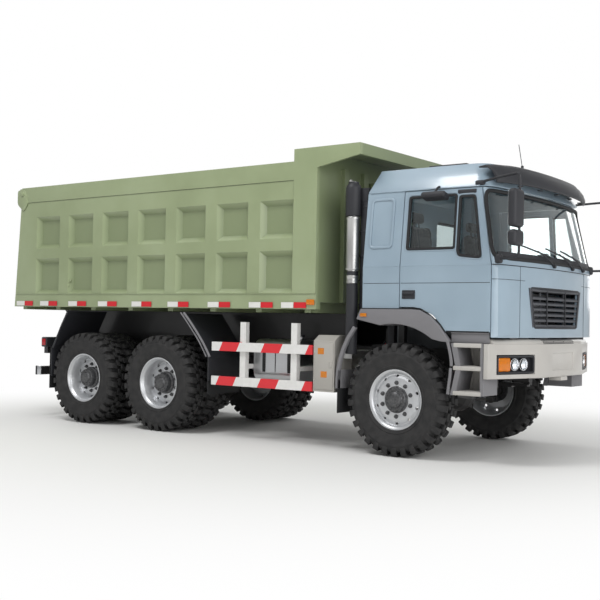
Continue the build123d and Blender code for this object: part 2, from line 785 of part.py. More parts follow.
for stage in (1, 2, 3):
    radius = hoist_radii[stage]
    start = 66 + 6 * stage
    with BuildPart() as hoist_stage:
        with BuildSketch(hoist_plane(start)):
            Circle(radius)
        extrude(amount=hoist_end - 90 + 25 * stage - start)
        if stage < 3:
            with BuildSketch(hoist_plane(start - 1)):
                Circle(radius - hoist_wall)
            extrude(amount=hoist_end, mode=Mode.SUBTRACT)
            hoist_gland(stage, hoist_end - 90 + 25 * stage)
        else:
            with BuildSketch(hoist_plane(hoist_end - 90)):
                Rectangle(56, 80)
            extrude(amount=160 - 30)
            with Locations((hoist_eye_x, 0, hoist_eye_z)):
                Cylinder(hoist_pin_radius + 1, 100, rotation=(90, 0, 0), mode=Mode.SUBTRACT)
    save(hoist_stage, "hoist_stage_" + str(stage))

# ---------------------------------------------------------------- bed
bay_span = bay_count * bay_width + (bay_count - 1) * rib_width
bay_front_x = bed_front_x - post_width
bay_rear_x = bay_front_x - bay_span
gate_pin_radius = 18
bearer_low_z = 1410
hollow_half_width = 110
hollow_plate = 15
hollow_top_z = 2250
hollow_depth = 265
canopy_lip = 40
bearer_count = 8
bearer_pitch = 665
bay_rows = (
    # low z, high z of each row of bays
    (bed_rail_top_z, 2068),
    (2200, 2612),
)
inner_y = bed_half_width - bed_wall
rear_slope = (bed_rear_high_x - bed_rear_low_x) / (bed_top_z - bed_rail_low_z)


def rear_edge_x(z):
    return bed_rear_low_x + rear_slope * (z - bed_rail_low_z)


with BuildPart() as bed_shell:
    for side in (-1, 1):
        with BuildSketch(side_plane(side * inner_y)):
            Polygon(
                (rear_edge_x(bed_rail_low_z), bed_rail_low_z),
                (bed_front_x, bed_rail_low_z),
                (bed_front_x, bed_top_z),
                (rear_edge_x(bed_top_z), bed_top_z),
                align=None,
            )
        extrude(amount=-side * bed_wall)
        # folded top band and front post stand proud
        with BuildSketch(side_plane(side * bed_half_width)):
            Polygon(
                (rear_edge_x(band_low_z), band_low_z),
                (bed_front_x, band_low_z),
                (bed_front_x, bed_top_z),
                (rear_edge_x(bed_top_z), bed_top_z),
                align=None,
            )
            with Locations((bed_front_x - post_width / 2, (bed_rail_top_z + post_top_z) / 2)):
                Rectangle(post_width, post_top_z - bed_rail_top_z)
        extrude(amount=-side * band_proud)
        with BuildSketch(side_plane(side * inner_y)):
            with Locations((bed_front_x - post_width / 2, (bed_top_z + post_top_z) / 2)):
                Rectangle(post_width, post_top_z - bed_top_z)
        extrude(amount=-side * bed_wall)
        # recessed bays with sloping sides
        bays = []
        for low_z, high_z in bay_rows:
            for bay in range(bay_count):
                rear_x = bay_rear_x + bay * (bay_width + rib_width)
                mouth_and_back = []
                for depth in (0, bay_depth):
                    y = side * (bed_half_width - depth)
                    near_x, far_x = rear_x + depth, rear_x + bay_width - depth
                    foot_z, head_z = low_z + depth, high_z - depth
                    outline = ((near_x, foot_z), (far_x, foot_z), (far_x, head_z), (near_x, head_z))
                    mouth_and_back.append([Vector(x, y, z) for x, z in outline])
                bays.append(flat_stack(mouth_and_back))
        add(bays, mode=Mode.SUBTRACT)
    # floor, front wall and its head beam
    with BuildSketch(Plane.XZ.offset(-inner_y)):
        Polygon(
            (rear_edge_x(bed_floor_z) + 20, bed_floor_z),
            (rear_edge_x(bed_floor_z) + 20, bed_floor_z - bed_floor_thick),
            (bed_front_x, bed_floor_z - bed_floor_thick),
            (bed_front_x, post_top_z),
            (bed_front_x - 60, post_top_z),
            (bed_front_x - 60, bed_floor_z),
            align=None,
        )
    extrude(amount=2 * inner_y)
    # cross bearers under the floor
    for bearer in range(bearer_count):
        x = ahead(-1100) - bearer * bearer_pitch
        with Locations((x, 0, (bearer_low_z + bed_floor_z - bed_floor_thick) / 2)):
            Box(80, 2 * inner_y, bed_floor_z - bed_floor_thick - bearer_low_z)
    # canopy over the gap behind the cab
    with BuildSketch(Plane.XZ.offset(-bed_half_width - band_proud)):
        Polygon(
            (bed_front_x, post_top_z),
            (bed_front_x, post_top_z - 40),
            (canopy_tip_x - canopy_lip, post_top_z - 40),
            (canopy_tip_x - canopy_lip, post_top_z - 118),
            (canopy_tip_x, post_top_z - 118),
            (canopy_tip_x, post_top_z),
            align=None,
        )
    extrude(amount=2 * (bed_half_width + band_proud))
    for side in (-1, 1):
        with BuildSketch(side_plane(side * (bed_half_width + band_proud))):
            Polygon(
                (bed_front_x, post_top_z),
                (bed_front_x, 2925),
                (canopy_tip_x, post_top_z - 118),
                (canopy_tip_x, post_top_z),
                align=None,
            )
        extrude(amount=side * 30)
    # front stiffeners
    for y in (-760, -380, 380, 760):
        with Locations((bed_front_x + 25, y, (bed_rail_low_z + 2960) / 2 + 40)):
            Box(50, 90, 2960 - bed_rail_low_z - 80)
    # hoist bracket
    for side in (-1, 1):
        with Locations(((bed_front_x + hoist_eye_x) / 2 + 20, side * 77, hoist_eye_z)):
            Box(hoist_eye_x - bed_front_x + 40, 24, 150)
    with Locations((bed_front_x + 50, 0, hoist_eye_z)):
        Box(100, 560, 180)
    # recess that the hoist leans into when the bed is up
    with BuildSketch(Plane.XZ.offset(-hollow_half_width - hollow_plate)):
        Polygon(
            (bed_front_x, hollow_top_z + 3 * hollow_plate),
            (bed_front_x - hollow_depth - hollow_plate, bearer_low_z),
            (bed_front_x, bearer_low_z),
            align=None,
        )
    extrude(amount=2 * (hollow_half_width + hollow_plate))
    with BuildSketch(Plane.XZ.offset(-hollow_half_width)):
        Polygon(
            (bed_front_x + 60, hollow_top_z),
            (bed_front_x, hollow_top_z),
            (bed_front_x - hollow_depth, bearer_low_z),
            (bed_front_x - hollow_depth, bearer_low_z - 20),
            (bed_front_x + 60, bearer_low_z - 20),
            align=None,
        )
    extrude(amount=2 * hollow_half_width, mode=Mode.SUBTRACT)
    # hoist eye and tailgate pin bores, with a boss outside each wall
    with Locations((hoist_eye_x, 0, hoist_eye_z)):
        Cylinder(hoist_pin_radius + 1, 300, rotation=(90, 0, 0), mode=Mode.SUBTRACT)
    for side in (-1, 1):
        with Locations((gate_pivot_x, side * (bed_half_width + 4), gate_pivot_z)):
            Box(130, 8, 130)
            Cylinder(gate_pin_radius + 1, 400, rotation=(90, 0, 0), mode=Mode.SUBTRACT)
save(bed_shell, "bed_shell")

sill_half_width = 35
sill_low_z = frame_top_z + seat_gap
sill_top_z = bearer_low_z - seat_gap
with BuildPart() as bed_sills:
    for side in (-1, 1):
        with BuildSketch(side_plane(side * rail_y + sill_half_width)):
            Polygon(
                (ahead(-1000), sill_top_z),
                (ahead(-1000), sill_low_z + 120),
                (ahead(-1150), sill_low_z),
                (ahead(-5300), sill_low_z),
                (ahead(-5400), sill_low_z + 120),
                (ahead(-5760), sill_top_z - 20),
                (ahead(-5780), sill_top_z),
                align=None,
            )
        extrude(amount=2 * sill_half_width)
    for side in (-1, 1):
        with Locations((bed_pivot_x, side * rail_y, bed_pivot_z)):
            Cylinder(hoist_pin_radius + 1, 100, rotation=(90, 0, 0), mode=Mode.SUBTRACT)
save(bed_sills, "bed_sills")


hinge_plate = 30
hinge_plate_y = rail_y + rail_width / 2 + seat_gap

gate_thick = 70
gate_recess = 10
gate_low_z = bed_floor_z + gap
gate_top_z = 2885
gate_half_width = inner_y - gap
with BuildPart() as tailgate:
    with BuildSketch(Plane.XZ.offset(-gate_half_width)):
        Polygon(
            (rear_edge_x(gate_low_z) + gate_recess, gate_low_z),
            (rear_edge_x(gate_top_z) + gate_recess, gate_top_z),
            (rear_edge_x(gate_top_z) + gate_recess + gate_thick, gate_top_z),
            (rear_edge_x(gate_low_z) + gate_recess + gate_thick, gate_low_z),
            align=None,
        )
    extrude(amount=2 * gate_half_width)
    for side in (-1, 1):
        with Locations((gate_pivot_x, side * (gate_half_width - 20), (gate_pivot_z + gate_top_z) / 2 - 10)):
            Box(80, 40, gate_pivot_z - gate_top_z + 60)
        with Locations((gate_pivot_x, side * (gate_half_width + 20), gate_pivot_z)):
            Cylinder(gate_pin_radius, 120, rotation=(90, 0, 0))
save(tailgate, "tailgate")

# ---------------------------------------------------------------- cab
header_z = 2618


def cab_section(z, half_width, rear_x, front_x, inset):
    """Plan of the cab at one height, moved inwards by inset, from the rear right corner round."""
    centre_x = front_x - cab_nose_bulge - cab_corner_radius
    centre_y = half_width - cab_corner_radius
    radius = cab_corner_radius - inset
    turns = [math.pi / 2 * step / cab_corner_steps for step in range(cab_corner_steps + 1)]
    corner = [(centre_x + radius * math.sin(turn), centre_y + radius * math.cos(turn)) for turn in turns]
    shares = [1 - 2 * step / cab_nose_steps for step in range(1, cab_nose_steps)]
    nose = [(front_x - inset - cab_nose_bulge * share**2, share * centre_y) for share in shares]
    left = [(rear_x + inset, half_width - inset)] + corner
    right = [(x, -y) for x, y in reversed(left)]
    return [Vector(x, y, z) for x, y in left + nose + right]


def cab_block(inset):
    """Outer form of the whole cab, moved inwards by inset."""
    eave_front_x = cab_front_x - windscreen_rake
    levels = (
        # height, half width, rear x, front x
        (cab_nose_z - 20, cab_half_width, cab_rear_x, cab_front_x),
        (belt_z, cab_half_width, cab_rear_x, cab_front_x),
        (eave_z, cab_top_half_width, cab_rear_x, eave_front_x),
        (roof_z - inset, cab_top_half_width - roof_taper, cab_rear_x + 70, eave_front_x - 110),
    )
    return flat_stack([cab_section(*level, inset) for level in levels])


def side_prism(points, y_from, y_to):
    """Prism across the cab with the given side outline."""
    with BuildPart() as prism:
        with BuildSketch(side_plane(y_to)):
            Polygon(*[(ahead(x), z) for x, z in points], align=None)
        extrude(amount=y_to - y_from)
    return prism.part


cab_outer = cab_block(0)
cab_inner = cab_block(cab_wall)
with BuildPart() as cab_skin:
    add(cab_outer)
    add(cab_inner, mode=Mode.SUBTRACT)
    with Locations((ahead(400), 0, cab_nose_z - 20)):
        Box(3000, 3000, 100, align=(Align.CENTER, Align.CENTER, Align.MAX), mode=Mode.SUBTRACT)
skin = cab_skin.part

far = 1300
pillar_top = 880
door_outline = (
    (50, 1478),
    (50, header_z),
    (pillar_top, header_z),
    (1025, 1865),
    (1025, cab_sill_z),
    (560, cab_sill_z),
    (515, 1310),
    (425, 1400),
    (290, 1466),
    (200, 1478),
)
panel_top_z = header_z + gap - seat_gap
back_outline = (
    (-500, cab_floor_z),
    (-500, panel_top_z),
    (50 - gap, panel_top_z),
    (50 - gap, cab_floor_z),
)
front_outline = (
    (1025 + gap, cab_nose_z),
    (1025 + gap, 1865),
    (pillar_top + gap, panel_top_z),
    (1400, panel_top_z),
    (1400, cab_nose_z),
)
roof_outline = (
    (-500, header_z + gap),
    (-500, 3000),
    (1400, 3000),
    (1400, header_z + gap),
)
main_window = ((112, 2045), (112, 2560), (622, 2560), (630, 2045))
quarter_window = ((668, 2025), (662, 2540), (815, 2540), (915, 1965), (880, 1950), (690, 1975))

with BuildPart() as cab_back:
    add(skin)
    add(side_prism(back_outline, -far, far), mode=Mode.INTERSECT)
    for side in (-1, 1):
        with BuildSketch(Plane(origin=(cab_rear_x - 20, 0, 0), x_dir=(0, 1, 0), z_dir=(1, 0, 0))):
            with Locations((side * 480, 2260)):
                RectangleRounded(520, 400, 60)
        extrude(amount=120, mode=Mode.SUBTRACT)
save(cab_back, "cab_back")

with BuildPart() as cab_roof:
    add(skin)
    add(side_prism(roof_outline, -far, far), mode=Mode.INTERSECT)
save(cab_roof, "cab_roof")

screen_low_z = 1935
screen_top_z = 2585
grille_low_z = 1300
grille_top_z = 1680
with BuildPart() as cab_front:
    add(skin)
    add(side_prism(front_outline, -far, far), mode=Mode.INTERSECT)
    front_view = Plane(origin=(ahead(700), 0, 0), x_dir=(0, 1, 0), z_dir=(1, 0, 0))
    with BuildSketch(front_view):
        Polygon((-1035, screen_low_z), (1035, screen_low_z), (985, screen_top_z), (-985, screen_top_z), align=None)
        Polygon((-570, grille_low_z), (570, grille_low_z), (655, grille_top_z), (-655, grille_top_z), align=None)
        with Locations((0, 1232)):
            Rectangle(900, 44)
    extrude(amount=700, mode=Mode.SUBTRACT)
save(cab_front, "cab_front")

for side_name, side in sides:
    near_y = side * 800
    far_y = side * far
    with BuildPart() as door:
        add(skin)
        add(side_prism(door_outline, min(near_y, far_y), max(near_y, far_y)), mode=Mode.INTERSECT)
        for outline in (main_window, quarter_window):
            add(side_prism(outline, min(near_y, far_y), max(near_y, far_y)), mode=Mode.SUBTRACT)
    save(door, "door_" + side_name)


# glass: the middle of the wall's thickness, inside each opening
glass_thick = 8
glass_inset = 24
with BuildPart() as pane_skin:
    add(cab_block(glass_inset))
    add(cab_block(glass_inset + glass_thick), mode=Mode.SUBTRACT)
for side_name, side in sides:
    near_y = side * 800
    far_y = side * far
    with BuildPart() as openings:
        for outline in (main_window, quarter_window):
            add(side_prism(outline, min(near_y, far_y), max(near_y, far_y)))
    with BuildPart() as door_glass:
        add(pane_skin.part)
        add(openings.part, mode=Mode.INTERSECT)
    save(door_glass, "door_glass_" + side_name)

with BuildPart() as screen_openings:
    with BuildSketch(front_view):
        Polygon((-1035, screen_low_z), (1035, screen_low_z), (985, screen_top_z), (-985, screen_top_z), align=None)
    extrude(amount=700)
    with BuildSketch(Plane(origin=(cab_rear_x - 20, 0, 0), x_dir=(0, 1, 0), z_dir=(1, 0, 0))):
        with Locations((-480, 2260), (480, 2260)):
            RectangleRounded(520, 400, 60)
    extrude(amount=120)
with BuildPart() as cab_glass:
    add(pane_skin.part)
    add(screen_openings.part, mode=Mode.INTERSECT)
save(cab_glass, "cab_glass")

# floor: rear shelf, foot wells and a raised tunnel over the engine
floor_thick = 35
floor_half_width = cab_half_width - cab_wall - seat_gap
floor_rear_x = cab_rear_x
foot_rear_x = ahead(590)
foot_front_x = ahead(985)
toe_front_x = ahead(1095)
toe_half_width = 1020
with BuildPart() as cab_floor:
    for side in (-1, 1):
        with BuildSketch(side_plane(side * (tunnel_half_width - floor_thick))):
            Polygon(
                (cab_rear_x + cab_wall + seat_gap, cab_floor_z),
                (cab_rear_x + cab_wall + seat_gap, cab_floor_z + floor_thick),
                (foot_rear_x - 20, cab_floor_z + floor_thick),
                (foot_rear_x + 20, cab_sill_z + floor_thick),
                (foot_front_x, cab_sill_z + floor_thick),
                (foot_front_x, cab_sill_z),
                (foot_rear_x - 10, cab_sill_z),
                (foot_rear_x - 50, cab_floor_z),
                align=None,
            )
        extrude(amount=-side * (floor_half_width - tunnel_half_width + floor_thick))
        with BuildSketch(side_plane(side * (tunnel_half_width - floor_thick))):
            Polygon(
                (cab_rear_x + cab_wall + seat_gap, cab_floor_z),
                (cab_rear_x + cab_wall + seat_gap, tunnel_z),
                (foot_front_x, tunnel_z),
                (foot_front_x, cab_sill_z),
                (foot_rear_x, cab_sill_z),
                (foot_rear_x - 40, cab_floor_z),
                align=None,
            )
        extrude(amount=-side * floor_thick)
        # tilt lugs under the nose
        with BuildSketch(side_plane(side * rail_y + 18)):
            with Locations((cab_pivot_x, cab_pivot_z)):
                Circle(28)
            Polygon(
                (cab_pivot_x - 130, cab_sill_z + 10),
                (cab_pivot_x - 84, cab_sill_z + 10),
                (cab_pivot_x + 8, cab_pivot_z + 25),
                (cab_pivot_x - 24, cab_pivot_z - 12),
                align=None,
            )
        extrude(amount=36)
        # toe board up to the nose panel
        with Locations(((foot_front_x + toe_front_x) / 2, side * (toe_half_width + tunnel_half_width) / 2, cab_sill_z)):
            Box(
                toe_front_x - foot_front_x,
                toe_half_width - tunnel_half_width,
                floor_thick,
                align=(Align.CENTER, Align.CENTER, Align.MIN),
            )
    with Locations(((cab_rear_x + cab_wall + seat_gap + foot_front_x) / 2, 0, tunnel_z - floor_thick / 2)):
        Box(foot_front_x - cab_rear_x - cab_wall - seat_gap, 2 * tunnel_half_width, floor_thick)
    for side in (-1, 1):
        with Locations((cab_pivot_x, side * rail_y, cab_pivot_z)):
            Cylinder(17, 100, rotation=(90, 0, 0), mode=Mode.SUBTRACT)
save(cab_floor, "cab_floor")


# wheel arches: a lip that follows the outline and a liner over the tyre
arch_radius = 748
arch_outer_y = 1240
arch_inner_y = 860
arch_liner = 22
arch_lip = 60
cab_arch = (
    (-432, 1352),
    (-385, cab_floor_z - seat_gap),
    (200, cab_floor_z - seat_gap),
    (290, 1448),
    (415, 1388),
    (503, 1305),
    (558, 1235),
    (625, 1150),
    (540, 1150),
)
with BuildPart() as cab_fenders:
    for side in (-1, 1):
        for depth, keep in ((arch_lip, 0), (arch_outer_y - arch_inner_y, arch_liner)):
            with BuildPart(mode=Mode.PRIVATE) as lip:
                with BuildSketch(side_plane(side * arch_outer_y)):
                    Polygon(*[(ahead(x), z) for x, z in cab_arch], align=None)
                    if keep:
                        with Locations((front_axle_x, axle_z)):
                            Circle(arch_radius + keep, mode=Mode.INTERSECT)
                    with Locations((front_axle_x, axle_z)):
                        Circle(arch_radius, mode=Mode.SUBTRACT)
                extrude(amount=side * depth)
            add(lip.part)
save(cab_fenders, "cab_fenders")

slat_count = 6
with BuildPart() as grille:
    frame_points = ((-570, grille_low_z), (570, grille_low_z), (655, grille_top_z), (-655, grille_top_z))
    with BuildSketch(Plane(origin=(ahead(1110), 0, 0), x_dir=(0, 1, 0), z_dir=(1, 0, 0))):
        Polygon(*frame_points, align=None)
        offset(amount=-seat_gap)
        offset(amount=-28, mode=Mode.SUBTRACT)
    extrude(amount=60)
    pitch = (grille_top_z - grille_low_z - 56) / slat_count
    for slat in range(slat_count - 1):
        z = grille_low_z + 28 + pitch * (slat + 1)
        half = 570 + (655 - 570) * (z - grille_low_z) / (grille_top_z - grille_low_z) - 20
        with BuildSketch(side_plane(half)):
            Polygon(
                (ahead(1115), z - 14),
                (ahead(1165), z - 26),
                (ahead(1165), z - 4),
                (ahead(1115), z + 14),
                align=None,
            )
        extrude(amount=2 * half)
    for y in (-300, 300):
        with Locations((ahead(1122), y, (grille_low_z + grille_top_z) / 2)):
            Box(14, 24, grille_top_z - grille_low_z - 50)
save(grille, "grille")

mirror_x = ahead(1330)
mirror_y = 1315
with BuildPart() as mirrors:
    for side in (-1, 1):
        with Locations((mirror_x, side * mirror_y, 2400)):
            Box(70, 200, 440)
        with Locations((mirror_x, side * mirror_y, 2085)):
            Box(70, 200, 160)
        arm_runs = (
            ((1330, 1225, 1990), (1330, 1225, 2700)),
            ((1330, 1225, 2700), (840, 1090, 2665)),
            ((1330, 1225, 1990), (1075, 1130, 1930)),
        )
        for (x0, y0, z0), (x1, y1, z1) in arm_runs:
            start = Vector(ahead(x0), side * y0, z0)
            end = Vector(ahead(x1), side * y1, z1)
            with BuildSketch(Plane(origin=start, z_dir=end - start)):
                RegularPolygon(13, 8)
            extrude(amount=(end - start).length)
    add(cab_outer, mode=Mode.SUBTRACT)
save(mirrors, "mirrors")

seat_y = 640
seat_x = ahead(140)
seat_base_z = cab_floor_z + floor_thick + seat_gap
cushion_low_z = 1795
with BuildPart() as seats:
    for y in (-seat_y, seat_y):
        with Locations((seat_x, y, seat_base_z)):
            Box(300, 300, cushion_low_z - seat_gap - seat_base_z, align=(Align.CENTER, Align.CENTER, Align.MIN))
        with Locations((seat_x + 20, y, cushion_low_z)):
            Box(480, 480, 130, align=(Align.CENTER, Align.CENTER, Align.MIN))
        with BuildSketch(side_plane(y + 230)):
            Polygon(
                (seat_x - 240, 1870),
                (seat_x - 120, 1870),
                (seat_x - 200, 2480),
                (seat_x - 300, 2480),
                align=None,
            )
        extrude(amount=460)
save(seats, "seats")

dash_front_x = ahead(1077)
dash_rear_x = ahead(760)
dash_top_z = 1900
with BuildPart() as dashboard:
    with BuildSketch(side_plane(1080)):
        Polygon(
            (dash_rear_x, dash_top_z - 180),
            (dash_rear_x + 40, dash_top_z),
            (dash_front_x, dash_top_z + 20),
            (dash_front_x, tunnel_z + 10),
            (dash_rear_x + 120, tunnel_z + 10),
            align=None,
        )
    extrude(amount=2 * 1080)
    with BuildSketch(Plane(origin=(dash_rear_x - 120, 560, 1960), z_dir=(-0.5, 0, 0.866))):
        Circle(230)
        Circle(205, mode=Mode.SUBTRACT)
        Rectangle(420, 30)
        Circle(50)
    extrude(amount=25, both=True)
    start = Vector(dash_rear_x - 120, 560, 1960)
    with BuildSketch(Plane(origin=start, z_dir=(0.5, 0, -0.866))):
        RegularPolygon(35, 8)
    extrude(amount=270)
save(dashboard, "dashboard")

visor_half_width = 1075
with BuildPart() as roof_fittings:
    with BuildSketch(Plane.XZ.offset(-visor_half_width)):
        Polygon(
            (ahead(880), 2800),
            (ahead(1000), 2790),
            (ahead(1180), 2690),
            (ahead(1190), 2655),
            (ahead(1170), 2640),
            (ahead(1010), 2720),
            (ahead(880), 2740),
            align=None,
        )
    extrude(amount=2 * visor_half_width)
    add(cab_outer, mode=Mode.SUBTRACT)
    with Locations((ahead(200), 300, roof_z + 45)):
        Box(480, 620, 90 - 2 * seat_gap)
save(roof_fittings, "roof_fittings")

# brackets on the frame that carry the hoist, the bed's hinge and the cab's pivots
with BuildPart() as frame_brackets:
    for side in (-1, 1):
        with Locations((hoist_x, side * 160, (frame_top_z + hoist_low_z) / 2 + 30)):
            Box(160, 30, hoist_low_z - frame_top_z + 60)
        with Locations((hoist_x, side * 117, hoist_low_z)):
            Cylinder(hoist_pin_radius, 116, rotation=(90, 0, 0))
    with Locations((hoist_x, 0, frame_top_z + seat_gap)):
        Box(160, 2 * (rail_y + rail_width / 2), 20, align=(Align.CENTER, Align.CENTER, Align.MIN))
    for side in (-1, 1):
        with BuildSketch(side_plane(side * hinge_plate_y)):
            Polygon(
                (frame_rear_x + 200, frame_top_z - 90),
                (frame_rear_x + 200, frame_top_z + 20),
                (bed_pivot_x + 40, bed_pivot_z + 50),
                (bed_pivot_x - 50, bed_pivot_z + 50),
                (bed_pivot_x - 50, bed_pivot_z - 60),
                (frame_rear_x - 10, frame_top_z - 90),
                align=None,
            )
        extrude(amount=-side * hinge_plate)
    with Locations((bed_pivot_x, 0, bed_pivot_z)):
        Cylinder(hoist_pin_radius, 2 * (hinge_plate_y + hinge_plate), rotation=(90, 0, 0))
    for side in (-1, 1):
        for offset_y in (-18 - gap - 14, 18 + gap):
            with BuildSketch(side_plane(side * rail_y + offset_y + 14)):
                Polygon(
                    (frame_front_x - 120, frame_top_z + seat_gap),
                    (frame_front_x - 120, frame_top_z + 40),
                    (cab_pivot_x - 36, cab_pivot_z + 20),
                    (cab_pivot_x + 16, cab_pivot_z + 34),
                    (cab_pivot_x + 26, cab_pivot_z - 20),
                    (frame_front_x - 10, frame_top_z + seat_gap),
                    align=None,
                )
            extrude(amount=14)
        with Locations((cab_pivot_x, side * rail_y, cab_pivot_z)):
            Cylinder(16, 2 * (18 + gap + 14), rotation=(90, 0, 0))
save(frame_brackets, "frame_brackets")
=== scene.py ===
# %% [markdown]
# # A six-wheel-drive tipping lorry
#
# The metal frame of this lorry comes finished from CAD: cab skins, bed, chassis, wheels
# and axles. This lesson dresses it. Every CAD part gets a procedural material, and the
# things CAD leaves plain, such as tyre blocks, rubber seals, lamps, seats and wipers,
# are modelled here in the same metres and at the same places.

# %% Load the frame and measure it
import math

import bpy
from mathutils import Matrix, Vector


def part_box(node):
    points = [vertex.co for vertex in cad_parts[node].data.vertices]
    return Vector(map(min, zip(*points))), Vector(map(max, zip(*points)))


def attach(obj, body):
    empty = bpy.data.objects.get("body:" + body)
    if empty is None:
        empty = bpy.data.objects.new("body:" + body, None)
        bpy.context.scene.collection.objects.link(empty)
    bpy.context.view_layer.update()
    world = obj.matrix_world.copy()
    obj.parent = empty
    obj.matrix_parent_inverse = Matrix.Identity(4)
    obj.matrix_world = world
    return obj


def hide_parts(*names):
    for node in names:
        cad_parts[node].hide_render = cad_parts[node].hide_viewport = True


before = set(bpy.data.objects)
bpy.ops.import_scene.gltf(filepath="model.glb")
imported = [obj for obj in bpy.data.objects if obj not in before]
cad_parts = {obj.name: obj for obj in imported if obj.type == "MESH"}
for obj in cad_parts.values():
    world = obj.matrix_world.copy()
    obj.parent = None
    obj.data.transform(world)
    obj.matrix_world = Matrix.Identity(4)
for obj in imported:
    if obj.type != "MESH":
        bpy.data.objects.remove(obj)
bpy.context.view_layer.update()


# %% [markdown]
# ## Landmarks
#
# Nothing below is placed by eye. A node's box gives two corners in the lorry's frame,
# +X forward, +Y to the left and +Z up, so each wheel's centre or each panel's face is a
# sum of those corners.

# %% Landmarks from the CAD boxes
def corners(node):
    """Lowest and highest corner of a CAD node as vectors."""
    low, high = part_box(node)
    return Vector(low), Vector(high)


def middle(node):
    """Middle of a CAD node's box."""
    low, high = corners(node)
    return (low + high) / 2


front_axle = middle("tyre_front_left")
axle_x = front_axle.x
axle_z = front_axle.z
tyre_low, tyre_high = corners("tyre_front_left")
tyre_radius = (tyre_high.z - tyre_low.z) / 2
tyre_width = tyre_high.y - tyre_low.y
front_tyre_y = front_axle.y
twin_low, twin_high = corners("tyres_rear_left")
outer_tyre_y = twin_high.y - tyre_width / 2
inner_tyre_y = twin_low.y + tyre_width / 2
print(
    "front axle at x", round(axle_x, 4), "tyre radius", round(tyre_radius, 4), "width", round(tyre_width, 4)
)


def ahead(distance):
    """X of a point given as a distance in front of the front axle."""
    return axle_x + distance


def spot(side, distance, out, height):
    """Point at a distance ahead of the front axle and a distance out on one side."""
    return (ahead(distance), side * out, height)


both_sides = (("left", 1), ("right", -1))


# %% [markdown]
# ## Camera and studio
#
# The lorry is seen from its right front corner, at chest height, through a moderately
# long lens, so the uprights stay almost straight. The floor is a pale sheet that fades to
# white, which keeps a soft contact shadow. The surrounding white is only what the camera
# and shiny paint see. The lamps light the object at a plain level.

# %% Camera
turn, tip, roll = math.radians(36.645), math.radians(1.167), math.radians(1.049)
bpy.ops.object.camera_add(location=(0, 0, 0))
camera = bpy.context.active_object
camera.data.lens = 60.36
camera.data.sensor_width = 36
camera.data.clip_end = 200
camera.matrix_world = (
    Matrix.Translation((ahead(5.166), -9.718, 1.327))
    @ Matrix.Rotation(turn, 4, "Z")
    @ Matrix.Rotation(math.pi / 2 + tip, 4, "X")
    @ Matrix.Rotation(roll, 4, "Z")
)
bpy.context.scene.camera = camera
print("camera stands at", [round(v, 3) for v in camera.matrix_world.translation])


# %% [markdown]
# ## One way to add a node
#
# A material is a small graph. One function adds a node, sets what it is given and links
# the inputs that are given as sockets, so each finish below reads as a short recipe.
# Colours are written as sRGB hex, as a paint shop would, and turned to linear once.

# %% Helpers for finishes
def paint_value(hex_code):
    """Linear RGBA of an sRGB hex colour."""
    parts = [int(hex_code[i : i + 2], 16) / 255 for i in (1, 3, 5)]
    return tuple(p / 12.92 if p <= 0.04045 else ((p + 0.055) / 1.055) ** 2.4 for p in parts) + (1.0,)


def add_node(finish, kind, inputs=None, **settings):
    """Adds one node to a finish. Inputs that are sockets get linked, others are set."""
    made = finish.node_tree.nodes.new(kind)
    for name, value in settings.items():
        setattr(made, name, value)
    for name, value in (inputs or {}).items():
        if isinstance(value, bpy.types.NodeSocket):
            finish.node_tree.links.new(value, made.inputs[name])
        else:
            made.inputs[name].default_value = value
    return made


def mixed(finish, factor, first, second):
    """Colour socket between two colours, each given as a value or a socket."""
    made = finish.node_tree.nodes.new("ShaderNodeMix")
    made.data_type = "RGBA"
    sockets = {socket.identifier: socket for socket in made.inputs}
    for name, value in (("Factor_Float", factor), ("A_Color", first), ("B_Color", second)):
        if isinstance(value, bpy.types.NodeSocket):
            finish.node_tree.links.new(value, sockets[name])
        else:
            sockets[name].default_value = value
    return next(socket for socket in made.outputs if socket.identifier == "Result_Color")


def new_finish(name, **sockets):
    """Empty material with its shader's sockets set, and the shader and the object's coordinates."""
    finish = bpy.data.materials.new(name)
    finish.use_nodes = True
    shader = finish.node_tree.nodes["Principled BSDF"]
    for socket, value in sockets.items():
        shader.inputs[socket.replace("_", " ")].default_value = value
    place = add_node(finish, "ShaderNodeTexCoord").outputs["Object"]
    return finish, shader, place


def connect(finish, output, socket):
    """Links an output to a socket."""
    finish.node_tree.links.new(output, socket)


def wear(piece, finish):
    """Gives a piece this finish and no other."""
    piece.data.materials.clear()
    piece.data.materials.append(finish)


# %% Short names for the usual nodes
def noise(finish, place, scale, detail):
    """Noise value at a scale."""
    return add_node(
        finish, "ShaderNodeTexNoise", {"Vector": place, "Scale": scale, "Detail": detail}
    ).outputs["Fac"]


def ranged(finish, value, low, high, start=0.0, end=1.0, **settings):
    """Value taken from the range start to end into the range low to high."""
    limits = {"Value": value, "From Min": start, "From Max": end, "To Min": low, "To Max": high}
    return add_node(finish, "ShaderNodeMapRange", limits, **settings).outputs["Result"]


def worked_out(finish, operation, *values):
    """Result of one Math node."""
    return add_node(finish, "ShaderNodeMath", dict(enumerate(values)), operation=operation).outputs[0]


def soft_edge(finish, radius):
    """Normal that rounds the light on edges."""
    return add_node(finish, "ShaderNodeBevel", {"Radius": radius}, samples=4).outputs["Normal"]


def bumpy(finish, height, strength, distance, normal=None):
    """Normal roughened by a height."""
    inputs = {"Height": height, "Strength": strength, "Distance": distance}
    if normal is not None:
        inputs["Normal"] = normal
    return add_node(finish, "ShaderNodeBump", inputs).outputs["Normal"]


# %% [markdown]
# ## Sprayed two-pack paint
#
# Lorry paint is a coloured enamel with a glossy clear layer. A new one is even, but never
# perfectly: the colour drifts by a few percent over a panel, the clear layer has a fine
# ripple called orange peel, about 3 mm across, and road film dulls the lower panels. The
# Bevel node rounds the light on folded edges by a few millimetres, as the sheet does.

